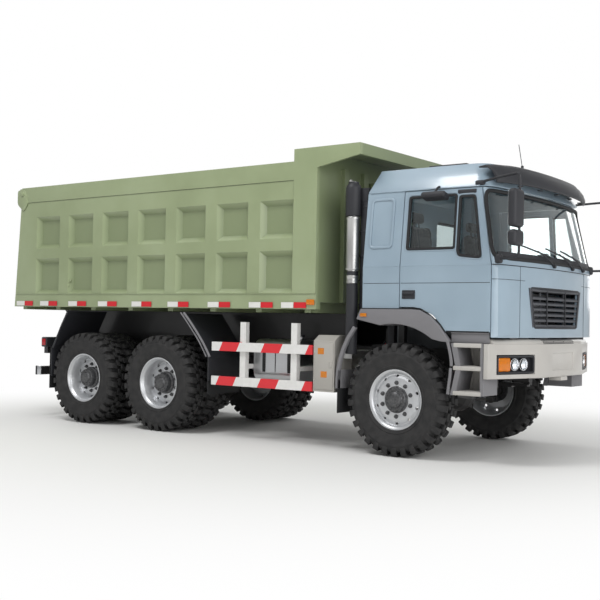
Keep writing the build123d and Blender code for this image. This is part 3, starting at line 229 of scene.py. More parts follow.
# %% Paint recipe
def sprayed_paint(name, colour, lit, shade, roughness=0.32, coat=0.5, edge=0.006, dust=0.25, dust_top=1.2):
    """Glossy enamel: colour drift, orange peel, soft edges and a film of dust low down."""
    finish, shader, place = new_finish(name, Metallic=0.0, Coat_Weight=coat, Coat_Roughness=0.12)
    drift = noise(finish, place, 1.3, 3.0)
    tones = add_node(finish, "ShaderNodeValToRGB", {"Fac": drift})
    tones.color_ramp.elements[0].position = 0.35
    tones.color_ramp.elements[0].color = paint_value(shade)
    tones.color_ramp.elements[1].position = 0.65
    tones.color_ramp.elements[1].color = paint_value(lit)
    middle_tone = tones.color_ramp.elements.new(0.5)
    middle_tone.color = paint_value(colour)
    height = add_node(finish, "ShaderNodeSeparateXYZ", {"Vector": place}).outputs["Z"]
    low_down = ranged(finish, height, dust, 0.0, 0.3, dust_top, clamp=True)
    specks = noise(finish, place, 9.0, 6.0)
    film = worked_out(finish, "MULTIPLY", low_down, specks)
    soiled = mixed(finish, film, tones.outputs["Color"], paint_value("#8C8578"))
    connect(finish, soiled, shader.inputs["Base Color"])
    gloss = ranged(finish, specks, roughness - 0.05, roughness + 0.08)
    connect(finish, gloss, shader.inputs["Roughness"])
    rounded = soft_edge(finish, edge)
    peel = noise(finish, place, 300.0, 1.0)
    ripple = bumpy(finish, peel, 0.04, 0.001, rounded)
    connect(finish, ripple, shader.inputs["Normal"])
    return finish


bed_enamel = sprayed_paint("bed_enamel_sage", "#97A37E", "#9CA884", "#909C77", roughness=0.36, coat=0.35)
cab_enamel = sprayed_paint("cab_enamel_blue_grey", "#92A5B3", "#98ABB9", "#8B9EAD", roughness=0.3, coat=0.5)
# Painted shade in the bays of the bed: below the face of the ribs the colour is mixed towards a darker green,
# standing in for the shadow in the recesses.
place = add_node(bed_enamel, "ShaderNodeTexCoord").outputs["Object"]
inward = add_node(bed_enamel, "ShaderNodeSeparateXYZ", {"Vector": place})
depth_in = worked_out(bed_enamel, "ABSOLUTE", inward.outputs["Y"])
bay_floor_y, rib_face_y, bay_shade_strength = 1.186, 1.222, 0.72
painted_bay_shade = ranged(bed_enamel, depth_in, bay_shade_strength, 0.0, bay_floor_y, rib_face_y, clamp=True)
bed_shader = bed_enamel.node_tree.nodes["Principled BSDF"]
clean_tone = bed_shader.inputs["Base Color"].links[0].from_socket
bay_shaded_tone = mixed(bed_enamel, painted_bay_shade, clean_tone, paint_value("#7C8865"))
connect(bed_enamel, bay_shaded_tone, bed_shader.inputs["Base Color"])
chassis_enamel = sprayed_paint(
    "chassis_enamel_black", "#1B1B1E", "#202023", "#161618", roughness=0.42, coat=0.2, dust=0.12
)
bumper_enamel = sprayed_paint(
    "bumper_enamel_pale_grey", "#B9B6B1", "#BFBCB7", "#B2AFAA", roughness=0.4, coat=0.2
)
box_enamel = sprayed_paint("locker_enamel_silver", "#A9A6A0", "#B0ADA7", "#A19E98", roughness=0.4, coat=0.2)
print("paints:", [m.name for m in (bed_enamel, cab_enamel, chassis_enamel, bumper_enamel, box_enamel)])


# %% [markdown]
# ## Moulded plastic, rubber, glass and bright metal
#
# Injection-moulded polypropylene is grained so that it hides scratches: a fine leathery
# bump, about 1 mm across, and a dull sheen. Tyre rubber is blacker in the grooves and
# greyer where it has touched the ground. Window glass is clear float glass, thin enough
# to be given a little grey tint. Drawn or chromed steel mirrors the white studio.

# %% Plastic, rubber, glass and metal
def moulded_plastic(name, colour, worn, roughness=0.55, grain=1000.0):
    """Grained polypropylene: slow colour drift and a leather-like bump."""
    finish, shader, place = new_finish(name, Metallic=0.0, IOR=1.49)
    drift = noise(finish, place, 4.0, 5.0)
    tones = mixed(finish, drift, paint_value(colour), paint_value(worn))
    connect(finish, tones, shader.inputs["Base Color"])
    gloss = ranged(finish, drift, roughness - 0.06, roughness + 0.1)
    connect(finish, gloss, shader.inputs["Roughness"])
    leather = add_node(finish, "ShaderNodeTexVoronoi", {"Vector": place, "Scale": grain})
    rounded = soft_edge(finish, 0.005)
    bumps = bumpy(finish, leather.outputs["Distance"], 0.12, 0.0006, rounded)
    connect(finish, bumps, shader.inputs["Normal"])
    return finish


def plain_metal(name, colour, roughness, streaks=(400.0, 400.0, 6.0), metallic=1.0):
    """Bright metal with fine drawn streaks along one direction."""
    finish, shader, place = new_finish(name, Metallic=metallic)
    stretched = add_node(finish, "ShaderNodeMapping", {"Vector": place, "Scale": streaks})
    lines = noise(finish, stretched.outputs["Vector"], 1.0, 3.0)
    tones = mixed(finish, lines, paint_value(colour), paint_value("#FFFFFF"))
    softened = mixed(finish, 0.8, tones, paint_value(colour))
    connect(finish, softened, shader.inputs["Base Color"])
    gloss = ranged(finish, lines, roughness * 0.8, roughness * 1.3)
    connect(finish, gloss, shader.inputs["Roughness"])
    rounded = soft_edge(finish, 0.003)
    connect(finish, rounded, shader.inputs["Normal"])
    return finish


def clear_cover(name, colour, roughness=0.03, transmission=1.0):
    """Polished glass or acrylic, tinted through its body."""
    finish, shader, place = new_finish(name, IOR=1.49, Transmission_Weight=transmission, Roughness=roughness)
    haze = noise(finish, place, 3.0, 2.0)
    tint = ranged(finish, haze, roughness, roughness + 0.03)
    connect(finish, tint, shader.inputs["Roughness"])
    shader.inputs["Base Color"].default_value = paint_value(colour)
    return finish


black_plastic = moulded_plastic("polypropylene_black_grained", "#222327", "#2D2E33")
grey_plastic = moulded_plastic("polypropylene_grey_grained", "#747376", "#7E7D80", roughness=0.5)
seal_rubber = moulded_plastic("epdm_rubber_extruded", "#17181A", "#1F2022", roughness=0.7, grain=2500.0)
interior_plastic = moulded_plastic("abs_dark_grey_grained", "#3A3B3F", "#45464B", roughness=0.6)
rim_silver = plain_metal("rim_enamel_silver", "#C6C8CB", 0.38, streaks=(8.0, 8.0, 8.0), metallic=0.75)
rolled_aluminium = plain_metal("aluminium_rolled", "#B9BBBE", 0.34, streaks=(6.0, 300.0, 300.0))
ground_steel = plain_metal("hard_chrome_ground", "#C9CBCE", 0.16, streaks=(300.0, 300.0, 4.0))
shield_steel = plain_metal("stainless_sheet_brushed", "#B5B5B3", 0.36, streaks=(200.0, 200.0, 4.0))
hub_steel = plain_metal("forged_steel_oiled", "#28292D", 0.42, streaks=(60.0, 60.0, 60.0), metallic=0.85)
window_glass = clear_cover("float_glass_grey_tint", "#DDE6E6", roughness=0.01)
lamp_glass = clear_cover("lamp_lens_clear", "#F4F7F9", roughness=0.02)
amber_acrylic = clear_cover("acrylic_amber", "#FF9A1E", roughness=0.1, transmission=0.5)
red_acrylic = clear_cover("acrylic_red", "#D8202C", roughness=0.1, transmission=0.4)
mirror_glass = plain_metal("mirror_silvered", "#DADDE0", 0.03)
lamp_reflector = plain_metal("reflector_aluminised", "#E4E5E8", 0.08)
print("trim finishes:", black_plastic.name, grey_plastic.name, rim_silver.name, window_glass.name)


# %% [markdown]
# ## Tyre rubber
#
# The compound is carbon black in rubber: nearly black, with a dry sheen. Mould release and
# dust leave faint grey clouds, and the grooves collect earth. The pattern is on a scale of
# 3 to 60 mm, so a coarse and a fine noise are enough.

# %% Tyre rubber
tyre_rubber, shader, place = new_finish("tyre_rubber_cured", Metallic=0.0, IOR=1.5)
clouds = noise(tyre_rubber, place, 14.0, 6.0)
rubber_tone = add_node(tyre_rubber, "ShaderNodeValToRGB", {"Fac": clouds})
rubber_tone.color_ramp.elements[0].position = 0.35
rubber_tone.color_ramp.elements[0].color = paint_value("#1E1E1F")
rubber_tone.color_ramp.elements[1].position = 0.75
rubber_tone.color_ramp.elements[1].color = paint_value("#343333")
connect(tyre_rubber, rubber_tone.outputs["Color"], shader.inputs["Base Color"])
dry = ranged(tyre_rubber, clouds, 0.62, 0.85)
connect(tyre_rubber, dry, shader.inputs["Roughness"])
pits = noise(tyre_rubber, place, 350.0, 2.0)
rubber_edge = soft_edge(tyre_rubber, 0.004)
rubber_bump = bumpy(tyre_rubber, pits, 0.25, 0.001, rubber_edge)
connect(tyre_rubber, rubber_bump, shader.inputs["Normal"])
print("tyre finish:", tyre_rubber.name)


# %% [markdown]
# ## Banded guard rails and reflective tape
#
# The side guard is painted white, then masked and sprayed with slanted red bands. A band
# is a repeat of x less half of z in the lorry's own metres, 0.6 m for one red and one
# white, and only where a rail is. The posts between stay white. The tape on the bed's
# rail is a row of stuck-on pieces, so those are modelled, not painted.

# %% Banded paint
def banded_paint(name, repeat=0.597, red_share=0.42, slant=-0.49, first=-2.607, row_shift=0.145):
    """White enamel with slanted red bands along X on two rails, one above the other."""
    finish, shader, place = new_finish(name, Coat_Weight=0.3, Coat_Roughness=0.15, Roughness=0.38)
    parts = add_node(finish, "ShaderNodeSeparateXYZ", {"Vector": place})
    lean = worked_out(finish, "MULTIPLY", parts.outputs["Z"], slant)
    along = worked_out(finish, "ADD", parts.outputs["X"], lean)
    upper = worked_out(finish, "GREATER_THAN", parts.outputs["Z"], 0.83)
    shifted = worked_out(finish, "MULTIPLY_ADD", upper, row_shift, along)
    from_first = worked_out(finish, "SUBTRACT", shifted, ahead(first))
    turns = worked_out(finish, "DIVIDE", from_first, repeat)
    share = worked_out(finish, "FRACT", turns)
    in_red = worked_out(finish, "LESS_THAN", share, red_share)
    on_low = worked_out(finish, "COMPARE", parts.outputs["Z"], 0.636, 0.058)
    on_high = worked_out(finish, "COMPARE", parts.outputs["Z"], 1.022, 0.055)
    on_rail = worked_out(finish, "ADD", on_low, on_high)
    red = worked_out(finish, "MULTIPLY", in_red, on_rail)
    scuffs = noise(finish, place, 25.0, 5.0)
    white = mixed(finish, scuffs, paint_value("#ECECEA"), paint_value("#DAD9D6"))
    bands = mixed(finish, red, white, paint_value("#DC1F2B"))
    connect(finish, bands, shader.inputs["Base Color"])
    rounded = soft_edge(finish, 0.006)
    connect(finish, rounded, shader.inputs["Normal"])
    return finish


guard_bands = banded_paint("guard_enamel_banded")
tape_white = moulded_plastic("reflective_sheet_white", "#E9E9E6", "#DEDDD8", roughness=0.35, grain=400.0)
tape_red = moulded_plastic("reflective_sheet_red", "#DB1E2B", "#C91B27", roughness=0.35, grain=400.0)
print("bands:", guard_bands.name, tape_white.name, tape_red.name)


# %% [markdown]
# ## Seat cover and cast iron
#
# The seats wear a woven polyester: threads about 1.5 mm apart, too fine for a view of the
# whole lorry, so they are drawn at 4 mm. The engine block is grey cast iron under a thin
# engine paint, with the pebbled skin that a sand mould leaves.

# %% Woven cover and cast iron
seat_cloth, shader, place = new_finish(
    "polyester_woven_charcoal", Roughness=0.85, Sheen_Weight=0.35, Sheen_Roughness=0.5
)
thread_pitch = 0.004
wave = {"Vector": place, "Scale": 1 / thread_pitch / 6.3}
weave = add_node(seat_cloth, "ShaderNodeTexWave", wave, bands_direction="X")
weft = add_node(seat_cloth, "ShaderNodeTexWave", wave, bands_direction="Z")
threads = worked_out(seat_cloth, "MULTIPLY", weave.outputs["Fac"], weft.outputs["Fac"])
cloth_tone = mixed(seat_cloth, threads, paint_value("#2C2D31"), paint_value("#4B4C52"))
connect(seat_cloth, cloth_tone, shader.inputs["Base Color"])
cloth_bump = bumpy(seat_cloth, threads, 0.3, 0.001)
connect(seat_cloth, cloth_bump, shader.inputs["Normal"])

cast_iron, shader, place = new_finish("iron_sand_cast", Metallic=0.4, Roughness=0.6)
pebbles = noise(cast_iron, place, 160.0, 4.0)
iron_tone = mixed(cast_iron, pebbles, paint_value("#4E5256"), paint_value("#6A6E72"))
connect(cast_iron, iron_tone, shader.inputs["Base Color"])
iron_bump = bumpy(cast_iron, pebbles, 0.4, 0.002)
connect(cast_iron, iron_bump, shader.inputs["Normal"])
print("soft and cast finishes:", seat_cloth.name, cast_iron.name)


# %% [markdown]
# ## Finishes on the CAD parts
#
# A CAD part keeps its shape and only its material slots change. One table says which
# finish each node wears, and a check at the end prints any node that was forgotten.

# %% Give each CAD node its finish
node_finishes = {
    bed_enamel: ("bed_shell", "tailgate"),
    cab_enamel: ("cab_back", "cab_roof", "cab_front", "door_left", "door_right"),
    chassis_enamel: (
        "frame_rails",
        "cross_members",
        "frame_brackets",
        "axles",
        "driveline",
        "leaf_springs",
        "bed_sills",
        "air_tanks",
        "rear_bar",
        "tie_rod",
        "knuckle_left",
        "knuckle_right",
        "cab_floor",
    ),
    bumper_enamel: ("bumper",),
    box_enamel: ("side_boxes",),
    grey_plastic: ("cab_fenders", "steps"),
    black_plastic: ("grille", "mudguards", "air_intake", "roof_fittings", "mirrors", "headlamps"),
    interior_plastic: ("dashboard",),
    guard_bands: ("side_guards",),
    rolled_aluminium: ("fuel_tank", "radiator"),
    shield_steel: ("exhaust_stack",),
    ground_steel: ("hoist_stage_1", "hoist_stage_2", "hoist_stage_3"),
    window_glass: ("cab_glass", "door_glass_left", "door_glass_right"),
    cast_iron: ("engine",),
    seat_cloth: ("seats",),
}
for finish, nodes in node_finishes.items():
    for node in nodes:
        wear(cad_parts[node], finish)
for node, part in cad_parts.items():
    finish = None
    if node.startswith("tyre"):
        finish = tyre_rubber
    elif node.startswith("rim"):
        finish = rim_silver
    elif node == "hoist_tube":
        finish = box_enamel
    if finish:
        wear(part, finish)
finished = {node for nodes in node_finishes.values() for node in nodes}
plain = [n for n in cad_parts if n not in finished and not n.startswith(("tyre", "rim", "hoist_tube"))]
print("nodes left plain:", plain)


# %% [markdown]
# ## Floor, backdrop and lamps
#
# The floor is one wide sheet. Near the lorry it is a matt pale surface, so the shadow
# stays; further out it fades into plain white. Camera, glossy and transmission rays see a
# white world; every other ray gets the soft studio light.

# %% Floor
bpy.ops.object.select_all(action="DESELECT")
bpy.ops.mesh.primitive_plane_add(size=120, location=(0, 0, -0.002))
floor = bpy.context.active_object
floor.name = "studio_floor"
floor_finish, shader, place = new_finish("studio_floor_matt", Roughness=0.9)
shader.inputs["Base Color"].default_value = paint_value("#E9E9E7")
shader.inputs["Specular IOR Level"].default_value = 0.1
ray = add_node(floor_finish, "ShaderNodeLightPath")
seen = worked_out(floor_finish, "MAXIMUM", ray.outputs["Is Camera Ray"], ray.outputs["Is Glossy Ray"])
distance = add_node(floor_finish, "ShaderNodeVectorMath", {0: place}, operation="LENGTH")
fade_start, fade_end = 3.2, 7.5
distance = distance.outputs["Value"]
fade = ranged(floor_finish, distance, 0.0, 1.0, fade_start, fade_end, interpolation_type="SMOOTHSTEP")
fade_seen = worked_out(floor_finish, "MULTIPLY", fade, seen)
white = add_node(floor_finish, "ShaderNodeEmission", {"Color": (1, 1, 1, 1), "Strength": 1.0})
mix_inputs = {0: fade_seen, 1: shader.outputs["BSDF"], 2: white.outputs["Emission"]}
blend = add_node(floor_finish, "ShaderNodeMixShader", mix_inputs)
floor_out = floor_finish.node_tree.nodes["Material Output"]
connect(floor_finish, blend.outputs["Shader"], floor_out.inputs["Surface"])
floor.data.materials.append(floor_finish)

# %% World and lamps
world = bpy.data.worlds.new("studio_white")
bpy.context.scene.world = world
world.use_nodes = True
sky = world.node_tree.nodes["Background"]
sky.inputs["Color"].default_value = (1, 1, 1, 1)
sky_path = add_node(world, "ShaderNodeLightPath")
sky_seen = worked_out(
    world, "MAXIMUM", sky_path.outputs["Is Camera Ray"], sky_path.outputs["Is Transmission Ray"]
)
studio_light = 0.42
connect(world, ranged(world, sky_seen, studio_light, 1.0), sky.inputs["Strength"])

lamps = (
    # name, place, size, watts
    ("soft_box_high_right", (-0.5, -6.2, 9.6), 3.0, 450),
    ("soft_box_right_front", (11.0, -4.6, 4.2), 9.0, 620),
    ("soft_box_overhead", (0.0, 1.0, 8.5), 8.0, 90),
    ("soft_box_left", (1.0, 9.5, 4.5), 6.0, 240),
    ("soft_box_rear", (-11.0, 3.0, 5.0), 6.0, 320),
)
for name, place_at, size, watts in lamps:
    bpy.ops.object.light_add(type="AREA", location=place_at)
    lamp = bpy.context.active_object
    lamp.name = name
    lamp.data.shape = "SQUARE"
    lamp.data.size = size
    lamp.data.energy = watts
    aim = Vector((0, 0, 1.2)) - Vector(place_at)
    lamp.rotation_euler = aim.to_track_quat("-Z", "Y").to_euler()
bpy.context.scene.view_settings.view_transform = "Standard"
print("lamps:", [(n, w) for n, _, _, w in lamps])


# %% [markdown]
# ## A small workshop
#
# The same few moves make every piece: pick one object, apply a modifier, draw an outline
# and push it out, turn a profile on a lathe, or set copies in a row or a ring. Each
# finished piece has its place baked into its mesh, gets one finish, and rides on a body.

# %% Picking, modifiers and finishing a piece
def pick_only(*pieces):
    """Selects these objects and nothing else."""
    bpy.ops.object.select_all(action="DESELECT")
    for piece in pieces:
        piece.select_set(True)
    bpy.context.view_layer.objects.active = pieces[-1]


def shape(piece, kind, **settings):
    """Adds a modifier, sets it and applies it."""
    pick_only(piece)
    modifier = piece.modifiers.new(kind.title(), kind)
    for name, value in settings.items():
        setattr(modifier, name, value)
    bpy.ops.object.modifier_apply(modifier=modifier.name)
    return piece


def soften(piece, width=0.003, segments=2):
    """Rounds the sharp edges, as a press, a mould or a file does."""
    return shape(
        piece, "BEVEL", width=width, segments=segments, limit_method="ANGLE", angle_limit=math.radians(35)
    )


def joined(*pieces):
    """Joins pieces into the last one."""
    pick_only(*pieces)
    bpy.ops.object.join()
    return bpy.context.active_object


def settle(piece, name, finish, body, smooth=35, replaces=()):
    """Bakes the place, smooths the curved faces, gives finish, name and body."""
    pick_only(piece)
    bpy.ops.object.transform_apply(location=True, rotation=True, scale=True)
    if smooth:
        bpy.ops.object.shade_smooth_by_angle(angle=math.radians(smooth))
    if finish:
        wear(piece, finish)
    piece.name = name
    piece.data.name = name
    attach(piece, body)
    if replaces:
        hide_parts(*replaces)
    return piece


# %% Drawing and pushing outlines
def mesh_piece(name, points, faces, edges=()):
    """Object of points and faces, picked."""
    mesh = bpy.data.meshes.new(name)
    mesh.from_pydata([tuple(p) for p in points], list(edges), faces)
    piece = bpy.data.objects.new(name, mesh)
    bpy.context.collection.objects.link(piece)
    pick_only(piece)
    return piece


def drawn(name, points, closed=True):
    """Mesh of one outline, with a face if it is closed."""
    if closed:
        return mesh_piece(name, points, [tuple(range(len(points)))])
    return mesh_piece(name, points, [], [(i, i + 1) for i in range(len(points) - 1)])


def outward(piece, push=None):
    """Extrudes all of a piece if given a push, then turns its faces outwards."""
    pick_only(piece)
    bpy.ops.object.mode_set(mode="EDIT")
    bpy.ops.mesh.select_all(action="SELECT")
    if push is not None:
        bpy.ops.mesh.extrude_region_move(TRANSFORM_OT_translate={"value": tuple(push)})
        bpy.ops.mesh.select_all(action="SELECT")
    bpy.ops.mesh.normals_make_consistent(inside=False)
    bpy.ops.object.mode_set(mode="OBJECT")
    return piece


def pushed(name, outline, push):
    """Solid made by pushing a closed outline along a vector."""
    return outward(drawn(name, outline), push)


def lofted(name, rows):
    """Closed shape through rows of points, capped at both ends."""
    size = len(rows[0])
    last = (len(rows) - 1) * size
    faces = []
    for first in range(0, last, size):
        for column in range(size):
            a, b = first + column, first + (column + 1) % size
            faces.append((a, b, b + size, a + size))
    faces += [tuple(range(size)), tuple(range(last, last + size))]
    return outward(mesh_piece(name, [point for row in rows for point in row], faces))


def round_corners(outline, radius, steps=4):
    """Outline with each corner replaced by a short curve."""
    points = [Vector(p) for p in outline]
    curve = []
    for index, corner in enumerate(points):
        before, after = points[index - 1] - corner, points[(index + 1) % len(points)] - corner
        start = corner + before.normalized() * min(radius, 0.42 * before.length)
        end = corner + after.normalized() * min(radius, 0.42 * after.length)
        for step in range(steps + 1):
            share = step / steps
            curve.append((1 - share) ** 2 * start + 2 * share * (1 - share) * corner + share**2 * end)
    return curve


def seal_ring(name, outline, width, push):
    """Flat ring along the inside of an outline, pushed to its thickness."""
    piece = drawn(name, outline)
    bpy.ops.object.mode_set(mode="EDIT")
    bpy.ops.mesh.select_mode(type="FACE")
    bpy.ops.mesh.select_all(action="SELECT")
    bpy.ops.mesh.inset(thickness=width, depth=0)
    bpy.ops.mesh.delete(type="FACE")
    bpy.ops.object.mode_set(mode="OBJECT")
    return outward(piece, push)


# %% Turning, blocks, tubes and copies
def turned(name, profile, steps=60):
    """Shape turned about the Y axis from (radius, y) points."""
    piece = drawn(name, [(0.0, y, radius) for radius, y in profile], closed=False)
    bpy.ops.object.mode_set(mode="EDIT")
    bpy.ops.mesh.select_all(action="SELECT")
    bpy.ops.mesh.spin(steps=steps, angle=2 * math.pi, center=(0, 0, 0), axis=(0, 1, 0))
    bpy.ops.mesh.select_all(action="SELECT")
    bpy.ops.mesh.remove_doubles(threshold=0.00005)
    bpy.ops.mesh.normals_make_consistent(inside=False)
    bpy.ops.object.mode_set(mode="OBJECT")
    return piece


def block(size, at, edge=0.004, segments=2, turn=(0, 0, 0)):
    """Box of a size at a place, with its edges rounded."""
    bpy.ops.object.select_all(action="DESELECT")
    bpy.ops.mesh.primitive_cube_add(size=1, location=(0, 0, 0))
    piece = bpy.context.active_object
    piece.scale = size
    bpy.ops.object.transform_apply(location=False, rotation=False, scale=True)
    soften(piece, edge, segments)
    piece.rotation_euler = turn
    piece.location = at
    return piece


def rod(radius, start, end, sides=16, edge=0.002):
    """Round or hexagonal bar between two points, with its ends eased."""
    start, end = Vector(start), Vector(end)
    bpy.ops.object.select_all(action="DESELECT")
    bpy.ops.mesh.primitive_cylinder_add(vertices=sides, radius=radius, depth=(end - start).length)
    piece = bpy.context.active_object
    shape(piece, "BEVEL", width=edge, segments=1, limit_method="ANGLE", angle_limit=math.radians(61))
    piece.rotation_euler = (end - start).to_track_quat("Z", "Y").to_euler()
    piece.location = (start + end) / 2
    return piece


def bent_tube(name, points, radius, cyclic=False):
    """Tube bent along points with smooth corners."""
    curve = bpy.data.curves.new(name, "CURVE")
    curve.dimensions = "3D"
    curve.bevel_depth = radius
    curve.bevel_resolution = 3
    curve.use_fill_caps = True
    curve.resolution_u = 6
    line = curve.splines.new("NURBS")
    line.points.add(len(points) - 1)
    for point, place_at in zip(line.points, points):
        point.co = (*place_at, 1)
    line.order_u = 3
    line.use_endpoint_u = not cyclic
    line.use_cyclic_u = cyclic
    piece = bpy.data.objects.new(name, curve)
    bpy.context.collection.objects.link(piece)
    pick_only(piece)
    bpy.ops.object.convert(target="MESH")
    return bpy.context.active_object


def tube_piece(name, points, radius, finish, body, cyclic=False):
    """Bent tube that is a finished piece."""
    return settle(bent_tube(name, points, radius, cyclic), name, finish, body)


def ring_about_y(piece, count, first=0.0):
    """Ring of copies about the Y axis, by an Array that follows a turned empty."""
    pick_only(piece)
    piece.rotation_euler.y += first
    bpy.ops.object.transform_apply(location=True, rotation=True, scale=True)
    bpy.ops.object.empty_add(location=(0, 0, 0), rotation=(0, 2 * math.pi / count, 0))
    guide = bpy.context.active_object
    shape(
        piece,
        "ARRAY",
        count=count,
        use_relative_offset=False,
        use_object_offset=True,
        offset_object=guide,
    )
    bpy.data.objects.remove(guide)
    return piece


def twin_of(piece):
    """Copy with its own mesh."""
    twin = piece.copy()
    twin.data = piece.data.copy()
    bpy.context.collection.objects.link(twin)
    return twin


def placed_copy(piece, at, turn=0.0):
    """Copy with its own mesh, turned about Z and set at a place."""
    twin = twin_of(piece)
    twin.location = at
    twin.rotation_euler = (0, 0, turn)
    pick_only(twin)
    bpy.ops.object.transform_apply(location=True, rotation=True, scale=True)
    return twin


print("workshop ready")


# %% [markdown]
# ## Off-road tyres
#
# A traction tyre has three layers that the eye reads: a smooth sidewall that bulges past
# the rim, shoulder lugs that wrap over the edge on to the sidewall, and two staggered rows
# of slanted blocks along the middle. The casing is turned from a profile. One lug of each
# kind is drawn, pushed out and rounded, then set in a ring by an Array that follows a
# turned empty. One finished tyre is copied to all ten places.

# %% Tyre casing
casing_profile = (
    # radius, half width
    (0.288, 0.112), (0.299, 0.127), (0.312, 0.1345), (0.324, 0.1375), (0.328, 0.1435),
    (0.334, 0.1440), (0.338, 0.1400), (0.372, 0.1490), (0.410, 0.1545), (0.448, 0.1560),
    (0.452, 0.1572), (0.458, 0.1572), (0.462, 0.1550), (0.490, 0.1500), (0.508, 0.1400),
    (0.518, 0.1200), (0.5225, 0.0600),
)
profile = list(casing_profile) + [(r, -y) for r, y in reversed(casing_profile)]
profile.append(profile[0])
casing = turned("casing", profile, steps=72)
print("casing faces:", len(casing.data.polygons))

# %% Tread lugs
shoulder_outline = (
    # y, radius
    (0.1530, 0.470), (0.1572, 0.476), (0.1562, 0.515), (0.1475, 0.5440), (0.1320, 0.5570),
    (0.0640, 0.5622), (0.0600, 0.5150), (0.1300, 0.4950),
)
lug_count = 30
lug_half = 0.033
lug = pushed("lug", [(-lug_half, y, radius) for y, radius in shoulder_outline], (2 * lug_half, 0, 0))
bpy.ops.object.mode_set(mode="EDIT")
bpy.ops.mesh.select_all(action="DESELECT")
bpy.ops.object.mode_set(mode="OBJECT")
for corner in lug.data.vertices:
    # the lug narrows on the sidewall and leans with the tread
    if corner.co.z < 0.5:
        corner.co.x *= 0.72
    corner.co.x += 0.16 * (corner.co.y - 0.11)
soften(lug, 0.004, 1)
far_lug = placed_copy(lug, (0, 0, 0), math.pi)
ring_about_y(lug, lug_count)
ring_about_y(far_lug, lug_count, first=math.pi / lug_count)

middle_outline = (
    (-0.040, 0.006), (0.030, 0.006), (0.044, 0.030), (0.040, 0.052), (-0.026, 0.052), (-0.044, 0.030)
)
tread_block = pushed("tread_block", [(x, y, 0.515) for x, y in middle_outline], (0, 0, 0.0465))
soften(tread_block, 0.004, 1)
far_block = placed_copy(tread_block, (0, 0, 0), math.pi)
ring_about_y(tread_block, lug_count, first=0.5 * math.pi / lug_count)
ring_about_y(far_block, lug_count, first=1.5 * math.pi / lug_count)
tyre = joined(lug, far_lug, tread_block, far_block, casing)
print(
    "one tyre:", len(tyre.data.polygons), "faces, radius", round(max(v.co.z for v in tyre.data.vertices), 4)
)


# %% [markdown]
# ## Steel disc wheels
#
# The wheel is a rolled steel rim with a pressed disc welded in, sprayed silver. In front
# the disc bulges outwards, with ten nuts and ten small oval hand holes near its edge. The
# twin wheels at the back are the same disc turned inwards, so they look deep dished. Both
# are turned from a profile, and the holes are cut by a Boolean with a ring of oval pins.

# %% Wheel turning and hand holes
nut_ring = 0.167
hole_ring = 0.236


def disc_wheel(name, profile, hole_y, hole_size=(0.017, 0.012)):
    """Rim and disc from a profile, with ten oval hand holes."""
    wheel = turned(name, profile, steps=60)
    bpy.ops.mesh.primitive_cylinder_add(vertices=16, radius=1, depth=0.09, rotation=(math.pi / 2, 0, 0))
    pin = bpy.context.active_object
    pin.scale = (hole_size[0], hole_size[1], 1)
    pin.location = (0, hole_y, hole_ring)
    ring_about_y(pin, 10, first=math.pi / 10)
    shape(wheel, "BOOLEAN", operation="DIFFERENCE", object=pin, solver="EXACT")
    bpy.data.objects.remove(pin)
    return wheel


rim_outside = (
    # radius, y, from the inner flange to the outer one
    (0.286, -0.122), (0.302, -0.124), (0.302, -0.118), (0.286, -0.112), (0.270, -0.090),
    (0.268, 0.060), (0.272, 0.094), (0.286, 0.112), (0.296, 0.116), (0.302, 0.124), (0.299, 0.129),
)
front_profile = rim_outside + (
    (0.290, 0.128), (0.280, 0.121), (0.268, 0.112), (0.262, 0.098), (0.256, 0.084), (0.240, 0.082),
    (0.222, 0.094), (0.200, 0.098), (0.130, 0.098), (0.124, 0.092), (0.124, 0.080), (0.200, 0.084),
    (0.220, 0.080), (0.245, 0.068), (0.256, 0.066), (0.260, -0.080), (0.274, -0.108),
    (0.286, -0.122),
)
front_wheel = disc_wheel("front_wheel", front_profile, 0.075)
rear_profile = rim_outside + (
    (0.288, 0.127), (0.280, 0.112), (0.272, 0.104), (0.262, 0.090), (0.260, 0.060), (0.254, 0.052),
    (0.252, -0.010), (0.244, -0.026), (0.222, -0.018), (0.200, -0.012), (0.120, -0.012),
    (0.120, -0.028), (0.200, -0.028), (0.240, -0.042), (0.262, -0.080), (0.274, -0.108),
    (0.286, -0.122),
)
rear_wheel = disc_wheel("rear_wheel", rear_profile, -0.03)
print("wheel faces:", len(front_wheel.data.polygons), len(rear_wheel.data.polygons))

# %% Hubs and wheel nuts
def wheel_nuts(face_y):
    """Ten hexagonal nuts, each on a round collar, with the stud showing."""
    nut = rod(0.0165, (0, face_y, nut_ring), (0, face_y + 0.024, nut_ring), sides=6, edge=0.002)
    collar = rod(0.022, (0, face_y - 0.002, nut_ring), (0, face_y + 0.007, nut_ring), sides=16, edge=0.002)
    stud = rod(0.0095, (0, face_y, nut_ring), (0, face_y + 0.034, nut_ring), sides=10, edge=0.001)
    one = joined(nut, collar, stud)
    return ring_about_y(one, 10)


def wheel_hub(profile, bolt_y, bolt_ring, bolt_count=16):
    """Turned hub with a ring of small cover bolts."""
    hub = turned("hub", profile, steps=40)
    bolt = rod(0.0075, (0, bolt_y - 0.004, bolt_ring), (0, bolt_y + 0.009, bolt_ring), sides=6, edge=0.001)
    return joined(ring_about_y(bolt, bolt_count), hub)


